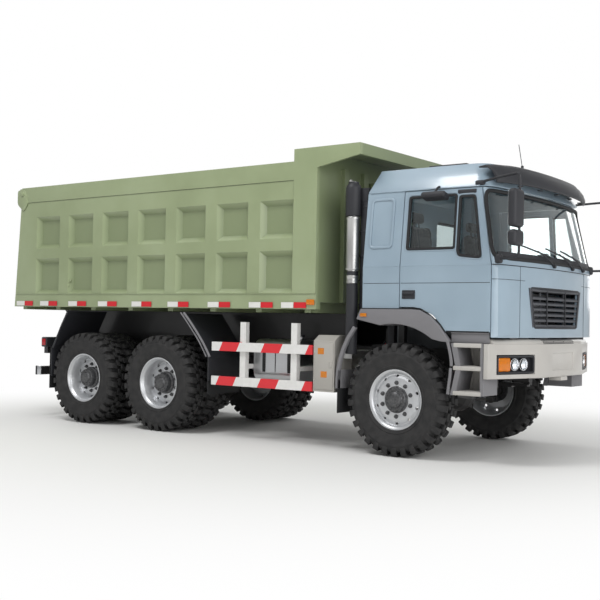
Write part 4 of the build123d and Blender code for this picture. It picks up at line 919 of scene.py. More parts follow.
front_hub_profile = (
    (0.0, 0.060), (0.134, 0.060), (0.134, 0.103), (0.128, 0.108), (0.122, 0.109), (0.117, 0.128),
    (0.112, 0.133), (0.086, 0.134), (0.080, 0.139), (0.077, 0.150), (0.066, 0.158), (0.030, 0.1635),
    (0.0, 0.1645),
)
rear_hub_profile = (
    (0.0, -0.060), (0.132, -0.060), (0.132, 0.010), (0.126, 0.016), (0.112, 0.020), (0.108, 0.076),
    (0.104, 0.082), (0.070, 0.084), (0.064, 0.092), (0.058, 0.105), (0.030, 0.1085), (0.0, 0.1090),
)
front_hub = joined(wheel_nuts(0.098), wheel_hub(front_hub_profile, 0.133, 0.100))
rear_hub = joined(wheel_nuts(-0.012), wheel_hub(rear_hub_profile, 0.082, 0.088))
for piece in (front_hub, rear_hub):
    wear(piece, hub_steel)
for piece in (front_wheel, rear_wheel):
    wear(piece, rim_silver)
print("hubs:", len(front_hub.data.polygons), len(rear_hub.data.polygons))

# %% Wheels on their axles
for side_name, side in both_sides:
    turn = 0 if side > 0 else math.pi
    at = (axle_x, side * front_tyre_y, axle_z)
    body = "wheel_front_" + side_name
    settle(
        placed_copy(tyre, at, turn), "traction_tyre_front_" + side_name, tyre_rubber, body,
        replaces=("tyre_front_" + side_name,)
    )
    wheel = joined(placed_copy(front_hub, at, turn), placed_copy(front_wheel, at, turn))
    settle(wheel, "disc_wheel_front_" + side_name, None, body, replaces=("rim_front_" + side_name,))
    for axle in ("middle", "rear"):
        body = "wheels_" + axle + "_" + side_name
        x = middle("tyres_" + axle + "_" + side_name).x
        outer = (x, side * outer_tyre_y, axle_z)
        inner = (x, side * inner_tyre_y, axle_z)
        twins = joined(placed_copy(tyre, outer, turn), placed_copy(tyre, inner, turn + math.pi))
        settle(
            twins, "twin_tyres_" + axle + "_" + side_name, tyre_rubber, body,
            replaces=("tyres_" + axle + "_" + side_name,)
        )
        drum = rod(
            0.168, (x, side * (inner_tyre_y + 0.02), axle_z), (x, side * (outer_tyre_y - 0.03), axle_z),
            sides=32, edge=0.01
        )
        drum.data.materials.append(hub_steel)
        pair = joined(
            drum,
            placed_copy(rear_hub, outer, turn),
            placed_copy(rear_wheel, inner, turn + math.pi),
            placed_copy(rear_wheel, outer, turn),
        )
        settle(
            pair, "dished_wheels_" + axle + "_" + side_name, None, body,
            replaces=("rims_" + axle + "_" + side_name,)
        )
for piece in (tyre, front_wheel, rear_wheel, front_hub, rear_hub):
    bpy.data.objects.remove(piece)
print("wheels set on", axle_x, "and the two rear axles")


# %% [markdown]
# ## Cab front with a wrapped windscreen
#
# The front is one large pressing whose corners turn into the sides, and the windscreen
# follows that turn almost to the door. A flat cut cannot do that. So the surface is a
# function of two numbers, s across and z up, and each opening is a rounded outline in
# those numbers. Rings of points run from the outline of an opening to the outline of the
# panel, which gives clean quads round every opening.

# %% The cab's own curves
back_low, back_high = corners("cab_back")
cab_half = back_high.y
belt_z, eave_z = 1.870, 2.640
corner_turn, nose_bulge, flat_share = 0.250, 0.065, 0.82
nose_x = corners("cab_front")[1].x
door_edge_low, door_edge_high = nose_x - 0.160, nose_x - 0.305
panel_foot_z, crease_z, header_z = 1.200, 1.880, 2.618


def between(first, second, share):
    """Value part of the way from one to another, held at both ends."""
    return first + (second - first) * max(0.0, min(1.0, share))


def cab_side_y(z):
    """Half width of the cab at a height."""
    return between(cab_half, cab_half - 0.085, (z - belt_z) / (eave_z - belt_z))


def front_point(s, z, proud=0.0):
    """Point of the front skin: s runs from -1 at the right door to 1 at the left one."""
    side = 1 if s >= 0 else -1
    half = cab_side_y(z)
    front = nose_x - 0.165 * max(0.0, (z - belt_z) / (eave_z - belt_z))
    share = abs(s) / flat_share
    if share <= 1:
        return Vector((front - nose_bulge * share**2 + proud, side * (half - corner_turn) * share, z))
    edge = between(door_edge_low, door_edge_high, (z - belt_z) / (header_z - belt_z)) + 0.006
    turn = math.pi / 2 * (1 - (abs(s) - flat_share) / (1 - flat_share))
    reach_x = front - nose_bulge - edge + proud
    return Vector(
        (
            edge + reach_x * math.sin(turn),
            side * (half - corner_turn + (corner_turn + proud) * math.cos(turn)), z
        )
    )


print("cab half width", round(cab_half, 3), "nose at", round(nose_x, 3))

# %% Panels with a rounded opening
def rounded_box(low_s, high_s, low_z, high_z, turn_s, turn_z, taper=0.0, steps=6, along=28, up=10):
    """Closed outline in (s, z) with rounded corners and as many points on each side."""
    runs = (
        ((low_s + turn_s, low_z), (high_s - turn_s, low_z), (high_s, low_z), (high_s, low_z + turn_z), along),
        (
            (high_s, low_z + turn_z), (high_s, high_z - turn_z), (high_s, high_z), (high_s - turn_s, high_z),
            up
        ),
        (
            (high_s - turn_s, high_z), (low_s + turn_s, high_z), (low_s, high_z), (low_s, high_z - turn_z),
            along
        ),
        ((low_s, high_z - turn_z), (low_s, low_z + turn_z), (low_s, low_z), (low_s + turn_s, low_z), up),
    )
    outline = []
    for start, end, corner, after, count in runs:
        for step in range(count):
            share = step / count
            outline.append((between(start[0], end[0], share), between(start[1], end[1], share)))
        for step in range(steps):
            share = step / steps
            s = (1 - share) ** 2 * end[0] + 2 * share * (1 - share) * corner[0] + share**2 * after[0]
            z = (1 - share) ** 2 * end[1] + 2 * share * (1 - share) * corner[1] + share**2 * after[1]
            outline.append((s, z))
    middle_z = (low_z + high_z) / 2
    return [(s * (1 + taper * (z - middle_z)), z) for s, z in outline]


def panel_round(name, outer, inner, rings=6, thick=0.03):
    """Skin between two outlines of the front, given a wall towards the inside."""
    count = len(outer)
    points = []
    for ring in range(rings + 1):
        for (s0, z0), (s1, z1) in zip(outer, inner):
            share = ring / rings
            points.append(front_point(s0 + (s1 - s0) * share, z0 + (z1 - z0) * share))
    faces = []
    for ring in range(rings):
        for step in range(count):
            following = (step + 1) % count
            a, b = ring * count + step, ring * count + following
            faces.append((a, b, b + count, a + count))
    panel = mesh_piece(name, points, faces)
    faces_forward = panel.data.polygons[0].normal.x > 0
    return shape(panel, "SOLIDIFY", thickness=thick, offset=-1 if faces_forward else 1)


screen_outline = rounded_box(-0.978, 0.978, 1.945, 2.590, 0.06, 0.12)
upper_outline = rounded_box(-1.0, 1.0, crease_z + 0.004, header_z, 0.001, 0.001)
upper_front = panel_round("upper_front", upper_outline, screen_outline)
grille_low, grille_high = corners("grille")
grille_outline = rounded_box(
    -0.492, 0.492, grille_low.z - 0.004, grille_high.z + 0.004, 0.02, 0.03, taper=0.35
)
lower_outline = rounded_box(-1.0, 1.0, panel_foot_z, crease_z - 0.004, 0.001, 0.001)
lower_front = panel_round("lower_front", lower_outline, grille_outline, rings=8)
for panel in (upper_front, lower_front):
    soften(panel, 0.003, 2)
settle(
    joined(lower_front, upper_front), "cab_front_pressing", cab_enamel, "cab", smooth=28,
    replaces=("cab_front",)
)
print("front pressing with", len(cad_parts), "CAD nodes round it")

# %% Seams pressed into the front
for s in (-0.70, 0.70):
    seam = [front_point(s, z, 0.0006) for z in (1.205, 1.30, 1.45, 1.60, 1.75, 1.875)]
    tube_piece("front_seam_" + ("right" if s < 0 else "left"), seam, 0.0022, seal_rubber, "cab")
crease = [front_point(s / 24, crease_z, -0.002) for s in range(-24, 25)]
tube_piece("front_flap_gap", crease, 0.004, seal_rubber, "cab")
for side_name, first, last in (("right", -24, -14), ("left", 15, 25)):
    corner_seam = [front_point(s / 24, 1.745, 0.0004) for s in range(first, last)]
    tube_piece("front_corner_seam_" + side_name, corner_seam, 0.0022, seal_rubber, "cab")


# %% [markdown]
# ## Windscreen and its seal
#
# The glass is a curved sheet just inside the skin. The seal is an extruded rubber profile
# about 35 mm wide that is pressed round the edge, so it is a bead that follows the
# opening. Under the glass a dark plastic cowl carries three wipers.

# %% Windscreen
def front_sheet(name, low_s, high_s, low_z, high_z, inset, across=48, up=12):
    """Curved sheet inside the front skin."""
    points, faces = [], []
    for row in range(up + 1):
        for column in range(across + 1):
            s, z = between(low_s, high_s, column / across), between(low_z, high_z, row / up)
            points.append(front_point(s, z, -inset))
    for row in range(up):
        for column in range(across):
            a = row * (across + 1) + column
            faces.append((a, a + 1, a + across + 2, a + across + 1))
    return mesh_piece(name, points, faces)


screen = front_sheet("screen", -0.972, 0.972, 1.950, 2.585, 0.012)
shape(screen, "SOLIDIFY", thickness=0.006, offset=0)
settle(screen, "windscreen_laminated", window_glass, "cab", smooth=40, replaces=("cab_glass",))
bead = [front_point(s, z, 0.002) for s, z in screen_outline[::2]]
tube_piece("windscreen_seal", bead, 0.019, seal_rubber, "cab", cyclic=True)
cowl = front_sheet("cowl", -0.93, 0.93, 1.935, 2.005, 0.004, across=40, up=3)
shape(cowl, "SOLIDIFY", thickness=0.006, offset=0)
settle(cowl, "wiper_cowl", black_plastic, "cab", smooth=40)
print("windscreen", round((screen.bound_box[6][1] - screen.bound_box[0][1]), 3), "m wide")

# %% Rear windows of the cab
for side_name, side in both_sides:
    outline = [
        (back_low.x + 0.03, side * 0.48 + y, 2.26 + z) for y,
        z in ((-0.26, -0.2), (0.26, -0.2), (0.26, 0.2), (-0.26, 0.2))
    ]
    pane = pushed("rear_pane", round_corners(outline, 0.06), (0.006, 0, 0))
    settle(pane, "rear_window_" + side_name, window_glass, "cab")
    ring = round_corners([(back_low.x - 0.006, y, z) for _, y, z in outline], 0.06)
    frame_bead = seal_ring(
        "rear_bead",
        [
            p + (Vector((0, side * 0.48, 2.26)) - p).normalized() * -0.012 * Vector((0, 1, 1)).length
            for p in ring
        ],
        0.028, (0.012, 0, 0)
    )
    settle(soften(frame_bead, 0.003, 2), "rear_window_seal_" + side_name, seal_rubber, "cab")


# %% [markdown]
# ## Door windows, handles and creases
#
# Each door has two panes, a drop glass and a fixed quarter light that dips lower, so the
# driver sees the kerb. Both sit in black rubber about 25 mm wide. The handle is a dark
# pull in a scooped cup. Two pressed creases run along the door below the glass.

# %% Door seals
window_outlines = {
    # name: corners as distance ahead of the front axle and height
    "drop_glass": ((0.112, 2.045), (0.112, 2.560), (0.622, 2.560), (0.630, 2.045)),
    "quarter_light": (
        (0.668, 2.025), (0.662, 2.540), (0.815, 2.540), (0.915, 1.965), (0.880, 1.950), (0.690, 1.975)
    ),
}


def on_side(side, x, z, proud=0.0):
    """Point on a cab side."""
    return Vector((ahead(x), side * (cab_side_y(z) + proud), z))


for side_name, side in both_sides:
    for window, outline in window_outlines.items():
        middle_x = sum(x for x, _ in outline) / len(outline)
        middle_z = sum(z for _, z in outline) / len(outline)
        grown = [
            (x + 0.012 * (1 if x > middle_x else -1), z + 0.012 * (1 if z > middle_z else -1)) for x,
            z in outline
        ]
        rounded = round_corners([on_side(side, x, z, -0.02) for x, z in grown], 0.035)
        ring = seal_ring(window, rounded, 0.026, (0, side * 0.026, 0))
        settle(soften(ring, 0.004, 2), window + "_seal_" + side_name, seal_rubber, "door_" + side_name)
        wider = [
            (x + 0.022 * (1 if x > middle_x else -1), z + 0.022 * (1 if z > middle_z else -1)) for x,
            z in outline
        ]
        bead = round_corners([on_side(side, x, z, -0.001) for x, z in wider], 0.045)
        tube_piece(
            window + "_pressed_bead_" + side_name, bead, 0.0065, cab_enamel, "door_" + side_name, cyclic=True
        )
print("seals round", list(window_outlines))

# %% Door handles
for side_name, side in both_sides:
    cup = block((0.145, 0.012, 0.085), on_side(side, 0.150, 1.600, 0.002), edge=0.005, segments=3)
    pull = block((0.120, 0.018, 0.026), on_side(side, 0.150, 1.612, 0.016), edge=0.008, segments=3)
    lock = rod(0.012, on_side(side, 0.100, 1.578, 0.004), on_side(side, 0.100, 1.578, 0.014), sides=20)
    settle(joined(pull, lock, cup), "door_handle_" + side_name, black_plastic, "door_" + side_name)

# %% Creases and rubbing lines on the sides
for side_name, side in both_sides:
    for z in (1.877, 1.712):
        for part, first, last, body in (
            ("door", 0.058, 1.015, "door_" + side_name), ("rear", -0.375, 0.042, "cab")
        ):
            run = [
                on_side(side, first, z, -0.0008), on_side(side, (first + last) / 2, z, -0.0008),
                on_side(side, last, z, -0.0008)
            ]
            name = part + "_crease_" + str(round(z * 1000)) + "_" + side_name
            tube_piece(name, run, 0.0026, seal_rubber if z < 1.8 else cab_enamel, body)
    drip = [on_side(side, x, 2.632, 0.004) for x in (-0.36, 0.0, 0.4, 0.86)]
    tube_piece("roof_drip_rail_" + side_name, drip, 0.008, cab_enamel, "cab")
    sill = [on_side(side, x, 1.252, -0.004) for x in (0.57, 0.8, 1.01)]
    tube_piece("door_sill_seal_" + side_name, sill, 0.006, seal_rubber, "door_" + side_name)

# %% Pressed panel behind each door
for side_name, side in both_sides:
    outline = [
        on_side(side, x, z, 0.0) for x,
        z in ((-0.335, 2.060), (-0.335, 2.570), (-0.055, 2.570), (-0.055, 2.060))
    ]
    ring = seal_ring("pressed", round_corners(outline, 0.060), 0.026, (0, side * 0.010, 0))
    settle(soften(ring, 0.009, 3), "pressed_panel_frame_" + side_name, cab_enamel, "cab")


# %% [markdown]
# ## Roof, visor and roof hatch
#
# The CAD roof is faceted. A merged copy with its edges rounded by 55 mm reads as pressed
# steel. The sun visor is a moulded black shell: it stands on tabs in front of the screen,
# turns down at its lip, and ends in rounded corners. The hatch has a raised dark lid.

# %% Rounded roof
def softened_copy(node, name, finish, body, width, segments=3, smooth=35):
    """Merged copy of a CAD node with rounded edges, which stands for it."""
    twin = twin_of(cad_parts[node])
    twin.parent = None
    pick_only(twin)
    bpy.ops.object.mode_set(mode="EDIT")
    bpy.ops.mesh.select_all(action="SELECT")
    bpy.ops.mesh.remove_doubles(threshold=0.0002)
    bpy.ops.mesh.dissolve_limited(angle_limit=math.radians(1))
    bpy.ops.object.mode_set(mode="OBJECT")
    shape(
        twin, "BEVEL", width=width, segments=segments, limit_method="ANGLE", angle_limit=math.radians(28),
        use_clamp_overlap=True
    )
    shape(twin, "WEIGHTED_NORMAL", keep_sharp=True)
    return settle(twin, name, finish, body, smooth=smooth, replaces=(node,))


softened_copy("cab_roof", "cab_roof_pressing", cab_enamel, "cab", 0.055, segments=5)
softened_copy("bumper", "bumper_pressing", bumper_enamel, "chassis", 0.012)
softened_copy("cab_fenders", "wheel_arch_moulding", grey_plastic, "cab", 0.006)
print("roof, bumper and arches rounded")

# %% Sun visor
def visor_section(s):
    """Section of the visor at a place across the front, from its rear top to its lip."""
    drop = 0.03 * abs(s) ** 6
    base = front_point(s * 0.945, 2.618)
    back = Vector((-1.0, 0, 0))
    spots = (
        # backwards from the header, height
        (0.055, 2.850),
        (-0.020, 2.862),
        (-0.085, 2.835),
        (-0.130, 2.765),
        (-0.152, 2.705),
        (-0.150, 2.668),
        (-0.138, 2.662),
        (-0.118, 2.705),
        (-0.090, 2.775),
        (-0.040, 2.830),
        (0.050, 2.835),
    )
    pull = 0.045 * abs(s) ** 8
    return [
        tuple(base + back * (r + pull) + Vector((0, 0, z - 2.618 - drop * (1 if z > 2.8 else 0.4)))) for r,
        z in spots
    ]


sections = [visor_section(step / 14) for step in range(-14, 15)]
visor = lofted("visor", sections)
soften(visor, 0.006, 2)
tabs = [
    block((0.05, 0.030, 0.012), front_point(s, 2.618) + Vector((0.128, 0, 0.030)), edge=0.004)
    for s in (-0.72, -0.36, 0.0, 0.36, 0.72)
]
visor_piece = joined(*tabs, visor)

hatch_low, hatch_high = Vector((ahead(-0.04), -0.56, 2.864)), Vector((ahead(0.44), 0.06, 2.950))
hatch_at = (hatch_low + hatch_high) / 2
rim_block = block(tuple(hatch_high - hatch_low), hatch_at, edge=0.025, segments=4)
lid = block((0.44, 0.58, 0.022), hatch_at + Vector((0, 0, 0.0435)), edge=0.010, segments=3)
settle(
    joined(rim_block, lid, visor_piece), "sun_visor_and_hatch", black_plastic, "cab",
    replaces=("roof_fittings",)
)
print("visor of", len(visor_piece.data.polygons), "faces")

# %% Antenna
foot = front_point(-0.42, 2.618) + Vector((-0.03, 0, 0.262))
mast = rod(0.0035, foot, foot + Vector((-0.045, 0.01, 0.235)), sides=10, edge=0.0005)
knob = rod(0.014, foot - Vector((0, 0, 0.02)), foot + Vector((0, 0, 0.02)), sides=20, edge=0.005)
settle(joined(mast, knob), "aerial_rod", black_plastic, "cab")


# %% [markdown]
# ## Mirrors and wipers
#
# A lorry mirror is a deep black shell with big radii, clamped to a bent steel tube. The
# tube leaves a clamp on the roof edge, runs forward, turns down past both mirrors and
# comes back to a swivel on the corner of the cab. The wide mirror looks at the kerb, so a
# third one hangs over the door on the kerb side.

# %% Mirrors
mirror_parts = []
for side in (1, -1):
    for z, tall in ((2.376, 0.345), (2.108, 0.145)):
        shell = block((0.085, 0.195, tall), spot(side, 1.322, 1.313, z), edge=0.034, segments=5)
        mirror_parts.append(shell)
    tube = (
        (0.842, 1.095, 2.664),
        (1.10, 1.190, 2.690),
        (1.285, 1.255, 2.700),
        (1.322, 1.268, 2.700),
        (1.335, 1.272, 2.660),
        (1.335, 1.272, 2.300),
        (1.335, 1.272, 2.010),
        (1.330, 1.268, 1.955),
        (1.285, 1.250, 1.940),
        (1.150, 1.190, 1.935),
        (1.075, 1.150, 1.932),
    )
    mirror_parts.append(bent_tube("mirror_tube", [spot(side, x, y, z) for x, y, z in tube], 0.0125))
    mirror_parts.append(block((0.095, 0.052, 0.050), spot(side, 0.855, 1.098, 2.660), edge=0.018, segments=4))
    mirror_parts.append(block((0.085, 0.062, 0.090), spot(side, 1.072, 1.150, 1.935), edge=0.022, segments=4))
    for z in (2.46, 2.30, 2.108):
        mirror_parts.append(
            rod(0.024, spot(side, 1.335, 1.272, z - 0.018), spot(side, 1.335, 1.272, z + 0.018), sides=18)
        )
kerb_at = (ahead(0.43), -1.205, 2.548)
mirror_parts.append(
    block((0.265, 0.125, 0.062), kerb_at, edge=0.026, segments=4, turn=(math.radians(-18), 0, 0))
)
mirror_parts.append(
    bent_tube(
        "kerb_arm", [(ahead(0.43), -1.118, 2.645), (ahead(0.43), -1.165, 2.640), (ahead(0.43), -1.20, 2.585)],
        0.012
    )
)
mirror_parts.append(block((0.20, 0.020, 0.042), (ahead(0.73), -1.118, 2.585), edge=0.012, segments=3))
settle(joined(*mirror_parts), "mirror_heads_and_tubes", black_plastic, "cab", replaces=("mirrors",))
for side_name, side in both_sides:
    panes = [
        block((0.004, 0.160, tall - 0.035), spot(side, 1.279, 1.313, z), edge=0.0015, segments=2)
        for z, tall in ((2.376, 0.345), (2.108, 0.145))
    ]
    settle(joined(*panes), "mirror_glass_" + side_name, mirror_glass, "cab")
print("mirrors of", len(mirror_parts), "pieces")

# %% Wipers
wiper_parts = []
for s in (-0.10, 0.34, 0.66):
    spindle = front_point(s, 1.915, 0.014)
    knee = front_point(s - 0.12, 1.975, 0.040)
    tip = front_point(s - 0.30, 2.045, 0.026)
    wiper_parts.append(rod(0.020, front_point(s, 1.915, -0.01), front_point(s, 1.915, 0.030), sides=18))
    wiper_parts.append(bent_tube("arm", [spindle, knee, tip], 0.0075))
    blade = [
        front_point(s - 0.30 + step, 2.045 - 0.16 * (step + 0.02), 0.017)
        for step in (-0.26, -0.13, 0.0, 0.13, 0.26)
    ]
    wiper_parts.append(bent_tube("blade", blade, 0.0085))
settle(joined(*wiper_parts), "wipers_three", black_plastic, "cab")


# %% [markdown]
# ## Bumper, lamps and steps
#
# The bumper is pressed steel in pale grey. Each lamp sits in a black frame that follows
# the slant of the bumper's end: an amber lens outside, then two round lamps, each a
# bright bowl behind a clear lens. A rounded cover fills the gap under the cab, and its
# middle holds a slatted air inlet. Steel treads with a turned-up lip make the steps.

# %% Bumper ends and lamps
bumper_front_x = corners("bumper")[1].x - 0.015
slant = math.atan2(0.220, 0.745)


def bumper_x(y):
    """Front of the bumper at a distance from the middle."""
    return bumper_front_x - max(0.0, abs(y) - 0.5) * 0.220 / 0.745


def on_bumper(side, along, z, depth=0.0):
    """Point on the slanted end of the bumper: along runs outwards from the lamp's middle."""
    y = 0.870 + along * math.cos(slant) - depth * math.sin(slant)
    x = bumper_x(0.870) - along * math.sin(slant) - depth * math.cos(slant)
    return Vector((x, side * y, z))


frames, ambers, bowls, lenses = [], [], [], []
for side in (1, -1):
    turn = (0, 0, side * slant)
    outer = round_corners(
        [
            on_bumper(side, a, z, 0.052) for a,
            z in ((-0.262, 0.862), (0.262, 0.862), (0.262, 1.033), (-0.262, 1.033))
        ],
        0.03
    )
    out = on_bumper(side, 0, 0.9, 0) - on_bumper(side, 0, 0.9, 0.052)
    ring = seal_ring("lamp_frame", outer, 0.018, out * 1.06)
    frames.append(soften(ring, 0.004, 2))
    frames.append(block((0.012, 0.50, 0.150), on_bumper(side, 0, 0.9475, 0.046), edge=0.003, turn=turn))
    ambers.append(
        block((0.030, 0.165, 0.128), on_bumper(side, 0.155, 0.9475, 0.020), edge=0.010, segments=3, turn=turn)
    )
    for along in (0.020, -0.105):
        centre = on_bumper(side, along, 0.9475, 0.0)
        back = (on_bumper(side, along, 0.9475, 0.04) - centre).normalized()
        rings = (
            (0.010, 0.040), (0.030, 0.036), (0.044, 0.026), (0.052, 0.010), (0.055, 0.004), (0.055, 0.002),
            (0.059, 0.002), (0.059, 0.040)
        )
        bowl = turned("bowl", rings, steps=36)
        bowl.rotation_euler = back.to_track_quat("Y", "Z").to_euler()
        bowl.location = centre
        bowls.append(bowl)
        lens = turned(
            "lens",
            ((0.0, -0.003), (0.030, -0.001), (0.050, 0.005), (0.054, 0.009), (0.050, 0.011), (0.0, 0.006)),
            steps=36
        )
        lens.rotation_euler = back.to_track_quat("Y", "Z").to_euler()
        lens.location = centre
        lenses.append(lens)
settle(joined(*frames), "lamp_frames", black_plastic, "chassis", replaces=("headlamps",))
settle(joined(*ambers), "indicator_lenses_front", amber_acrylic, "chassis")
settle(joined(*bowls), "lamp_bowls", lamp_reflector, "chassis")
settle(joined(*lenses), "lamp_lenses", lamp_glass, "chassis")
print("lamps", len(bowls), "bumper front at", round(bumper_front_x, 3))

# %% Rounded cover under the cab, with its air inlet
rows = []
tilt_x, tilt_z = ahead(1.150), 1.130
for step in range(-40, 41):
    y = 1.16 * step / 40
    face = min(tilt_x + 0.055, bumper_x(y) - 0.010)
    top = min(tilt_x, face - 0.045)
    rows.append(
        (
            (face, y, 1.132), (face, y, 1.148), (face - 0.012, y, 1.170), (top, y, 1.186),
            (top - 0.05, y, 1.186), (top - 0.05, y, 1.132)
        )
    )
cover = lofted("cover", rows)
settle(cover, "bumper_top_cover", bumper_enamel, "chassis", smooth=45)
slats = []
for n in range(4):
    slat_z = 1.1425 + 0.0115 * n
    slat_x = tilt_x + math.sqrt(0.0575**2 - (slat_z - tilt_z) ** 2) - 0.006
    slats.append(block((0.014, 0.78, 0.0088), (slat_x, 0, slat_z), edge=0.002))
slats += [
    block((0.010, 0.012, 0.026), (tilt_x + 0.048, y, 1.150), edge=0.003) for y in (-0.38, -0.13, 0.13, 0.38)
]
settle(joined(*slats), "lower_inlet_slats", black_plastic, "chassis")

# %% Grille slats
slat_plastic = moulded_plastic("polypropylene_slat_grey", "#44464B", "#505257")
softened_copy("grille", "grille_slats", slat_plastic, "cab", 0.004, segments=2)
struts = [block((0.020, 0.014, 0.345), front_point(s, 1.490, -0.020), edge=0.004) for s in (-0.20, 0.20)]
settle(joined(*struts), "grille_struts", black_plastic, "cab")
rim = [front_point(s, z, 0.0) for s, z in grille_outline[::2]]
tube_piece("grille_rim", rim, 0.009, black_plastic, "cab", cyclic=True)

# %% Steps with lips
tread_parts, panel_parts = [], []
for side in (1, -1):
    for level in (1.140, 0.925, 0.690):
        tread_parts.append(
            block((0.292, 0.034, 0.042), spot(side, 0.812, 1.222, level - 0.018), edge=0.008, segments=2)
        )
        for n in range(6):
            tread_parts.append(
                block(
                    (0.280, 0.012, 0.006), spot(side, 0.812, 0.985 + 0.036 * n, level + 0.002), edge=0.002,
                    segments=1
                )
            )
    panel_parts.append(block((0.262, 0.010, 0.445), spot(side, 0.812, 0.958, 0.905), edge=0.003))
    for x in (0.725, 0.812, 0.899):
        panel_parts.append(block((0.030, 0.012, 0.43), spot(side, x, 0.966, 0.905), edge=0.005))
settle(joined(*tread_parts), "step_treads", bumper_enamel, "chassis")
settle(joined(*panel_parts), "step_back_panels", bumper_enamel, "chassis")
print("treads", len(tread_parts), "panels", len(panel_parts))


# %% [markdown]
# ## Wheel arches, strips and flaps
#
# The arch over the front wheel rides on the cab, and its front leg carries on down beside
# the steps in two lengths. Behind the wheel a grey strip and a rubber flap hang from the
# chassis. The strip is a curved band with a turned lip: an arc swept outwards.

# %% Strips round the front wheel
def arch_strip(name, side, path, width, body, finish, thick=0.012, lip=0.034):
    """Band along a path of (x, z), pushed inwards, with a lip on its outer edge."""
    outer = [Vector(spot(side, x, 1.238, z)) for x, z in path]
    count = len(path)
    rows = []
    for index, (x, z) in enumerate(path):
        before, after = path[max(index - 1, 0)], path[min(index + 1, count - 1)]
        run = Vector((after[0] - before[0], 0, after[1] - before[1])).normalized()
        across = Vector((run.z, 0, -run.x)) * (1 if x > 0 else -1)
        if across.x * x < 0:
            across = -across
        base = outer[index]
        inward = Vector((0, -side * width, 0))
        lipped = Vector((0, -side * 0.014, 0))
        rows.append(
            (
                base,
                base + across * lip,
                base + across * lip + lipped,
                base + across * thick + lipped,
                base + across * thick + inward,
                base + inward,
            )
        )
    strip = lofted(name, rows)
    return settle(soften(strip, 0.003, 2), name, finish, body)


for side_name, side in both_sides:
    upper_leg = [(0.582, 1.165), (0.604, 1.10), (0.621, 1.03), (0.631, 0.965), (0.633, 0.920)]
    arch_strip("arch_leg_upper_" + side_name, side, upper_leg, 0.16, "cab", grey_plastic, lip=0.030)
    lower_leg = [(0.626, 0.905), (0.622, 0.84), (0.612, 0.77), (0.603, 0.70), (0.598, 0.655)]
    arch_strip("arch_leg_lower_" + side_name, side, lower_leg, 0.16, "chassis", grey_plastic, lip=0.028)
    rear_path = [
        (-0.440, 1.262), (-0.520, 1.150), (-0.575, 1.040), (-0.612, 0.930), (-0.632, 0.830), (-0.640, 0.730),
        (-0.640, 0.640)
    ]
    arch_strip("arch_leg_rear_" + side_name, side, rear_path, 0.042, "chassis", grey_plastic, lip=0.036)
    arch_strip(
        "arch_leg_rear_inner_" + side_name, side, rear_path[4:], 0.30, "chassis", grey_plastic, lip=0.012
    )
    sill_panel = block((0.395, 0.016, 0.094), spot(side, 0.812, 1.172, 1.190), edge=0.005)
    sill_lip = block((0.395, 0.024, 0.014), spot(side, 0.812, 1.180, 1.238), edge=0.004)
    settle(joined(sill_lip, sill_panel), "sill_panel_" + side_name, grey_plastic, "chassis")
    flap = block((0.010, 0.300, 0.330), spot(side, -0.652, 1.080, 0.555), edge=0.003)
    settle(flap, "mud_flap_front_" + side_name, seal_rubber, "chassis")
    arch_top = (
        (-0.385, 1.453), (0.0, 1.453), (0.20, 1.452), (0.29, 1.445), (0.36, 1.416), (0.42, 1.378),
        (0.505, 1.292), (0.556, 1.226)
    )
    seal = bent_tube("arch_seal", [spot(side, x, 1.2015, z + 0.004) for x, z in arch_top], 0.009)
    settle(seal, "arch_seal_" + side_name, seal_rubber, "cab")
    marker = block((0.075, 0.010, 0.036), spot(side, -0.345, 1.2445, 1.395), edge=0.004, segments=3)
    settle(marker, "arch_marker_" + side_name, amber_acrylic, "cab")
print("strips round the front wheels")


# %% [markdown]
# ## Bed fittings
#
# The bed side carries a row of reflective tape, white then red, an amber lamp near the
# front, a seam under the top band, and the gate's pivot plates at the rear corner. Tape
# is a thin sheet, so each piece is 1.5 mm thick and stands just proud of the rail.

# %% Tape and lamps on the bed
rail_y_out = corners("bed_shell")[1].y
tape_starts = (-5.82, -5.34, -4.79, -4.24, -3.65, -3.055, -2.43, -1.83, -1.385)
for finish, shift, length, tape_name in ((tape_white, 0.0, 0.164, "white"), (tape_red, 0.167, 0.164, "red")):
    strips = []
    for side in (1, -1):
        for start in tape_starts:
            first = start + shift
            strips.append(
                block(
                    (length, 0.0016, 0.061), spot(side, first + length / 2, rail_y_out + 0.0006, 1.488),
                    edge=0.0004, segments=1
                )
            )
    settle(joined(*strips), "rail_tape_" + tape_name, finish, "bed", smooth=0)
amber = []
for side in (1, -1):
    amber.append(
        block((0.100, 0.016, 0.056), spot(side, -0.998, rail_y_out + 0.006, 1.520), edge=0.006, segments=3)
    )
settle(joined(*amber), "bed_side_markers", amber_acrylic, "bed")
print("tape pieces", 2 * len(tape_starts), "a side")

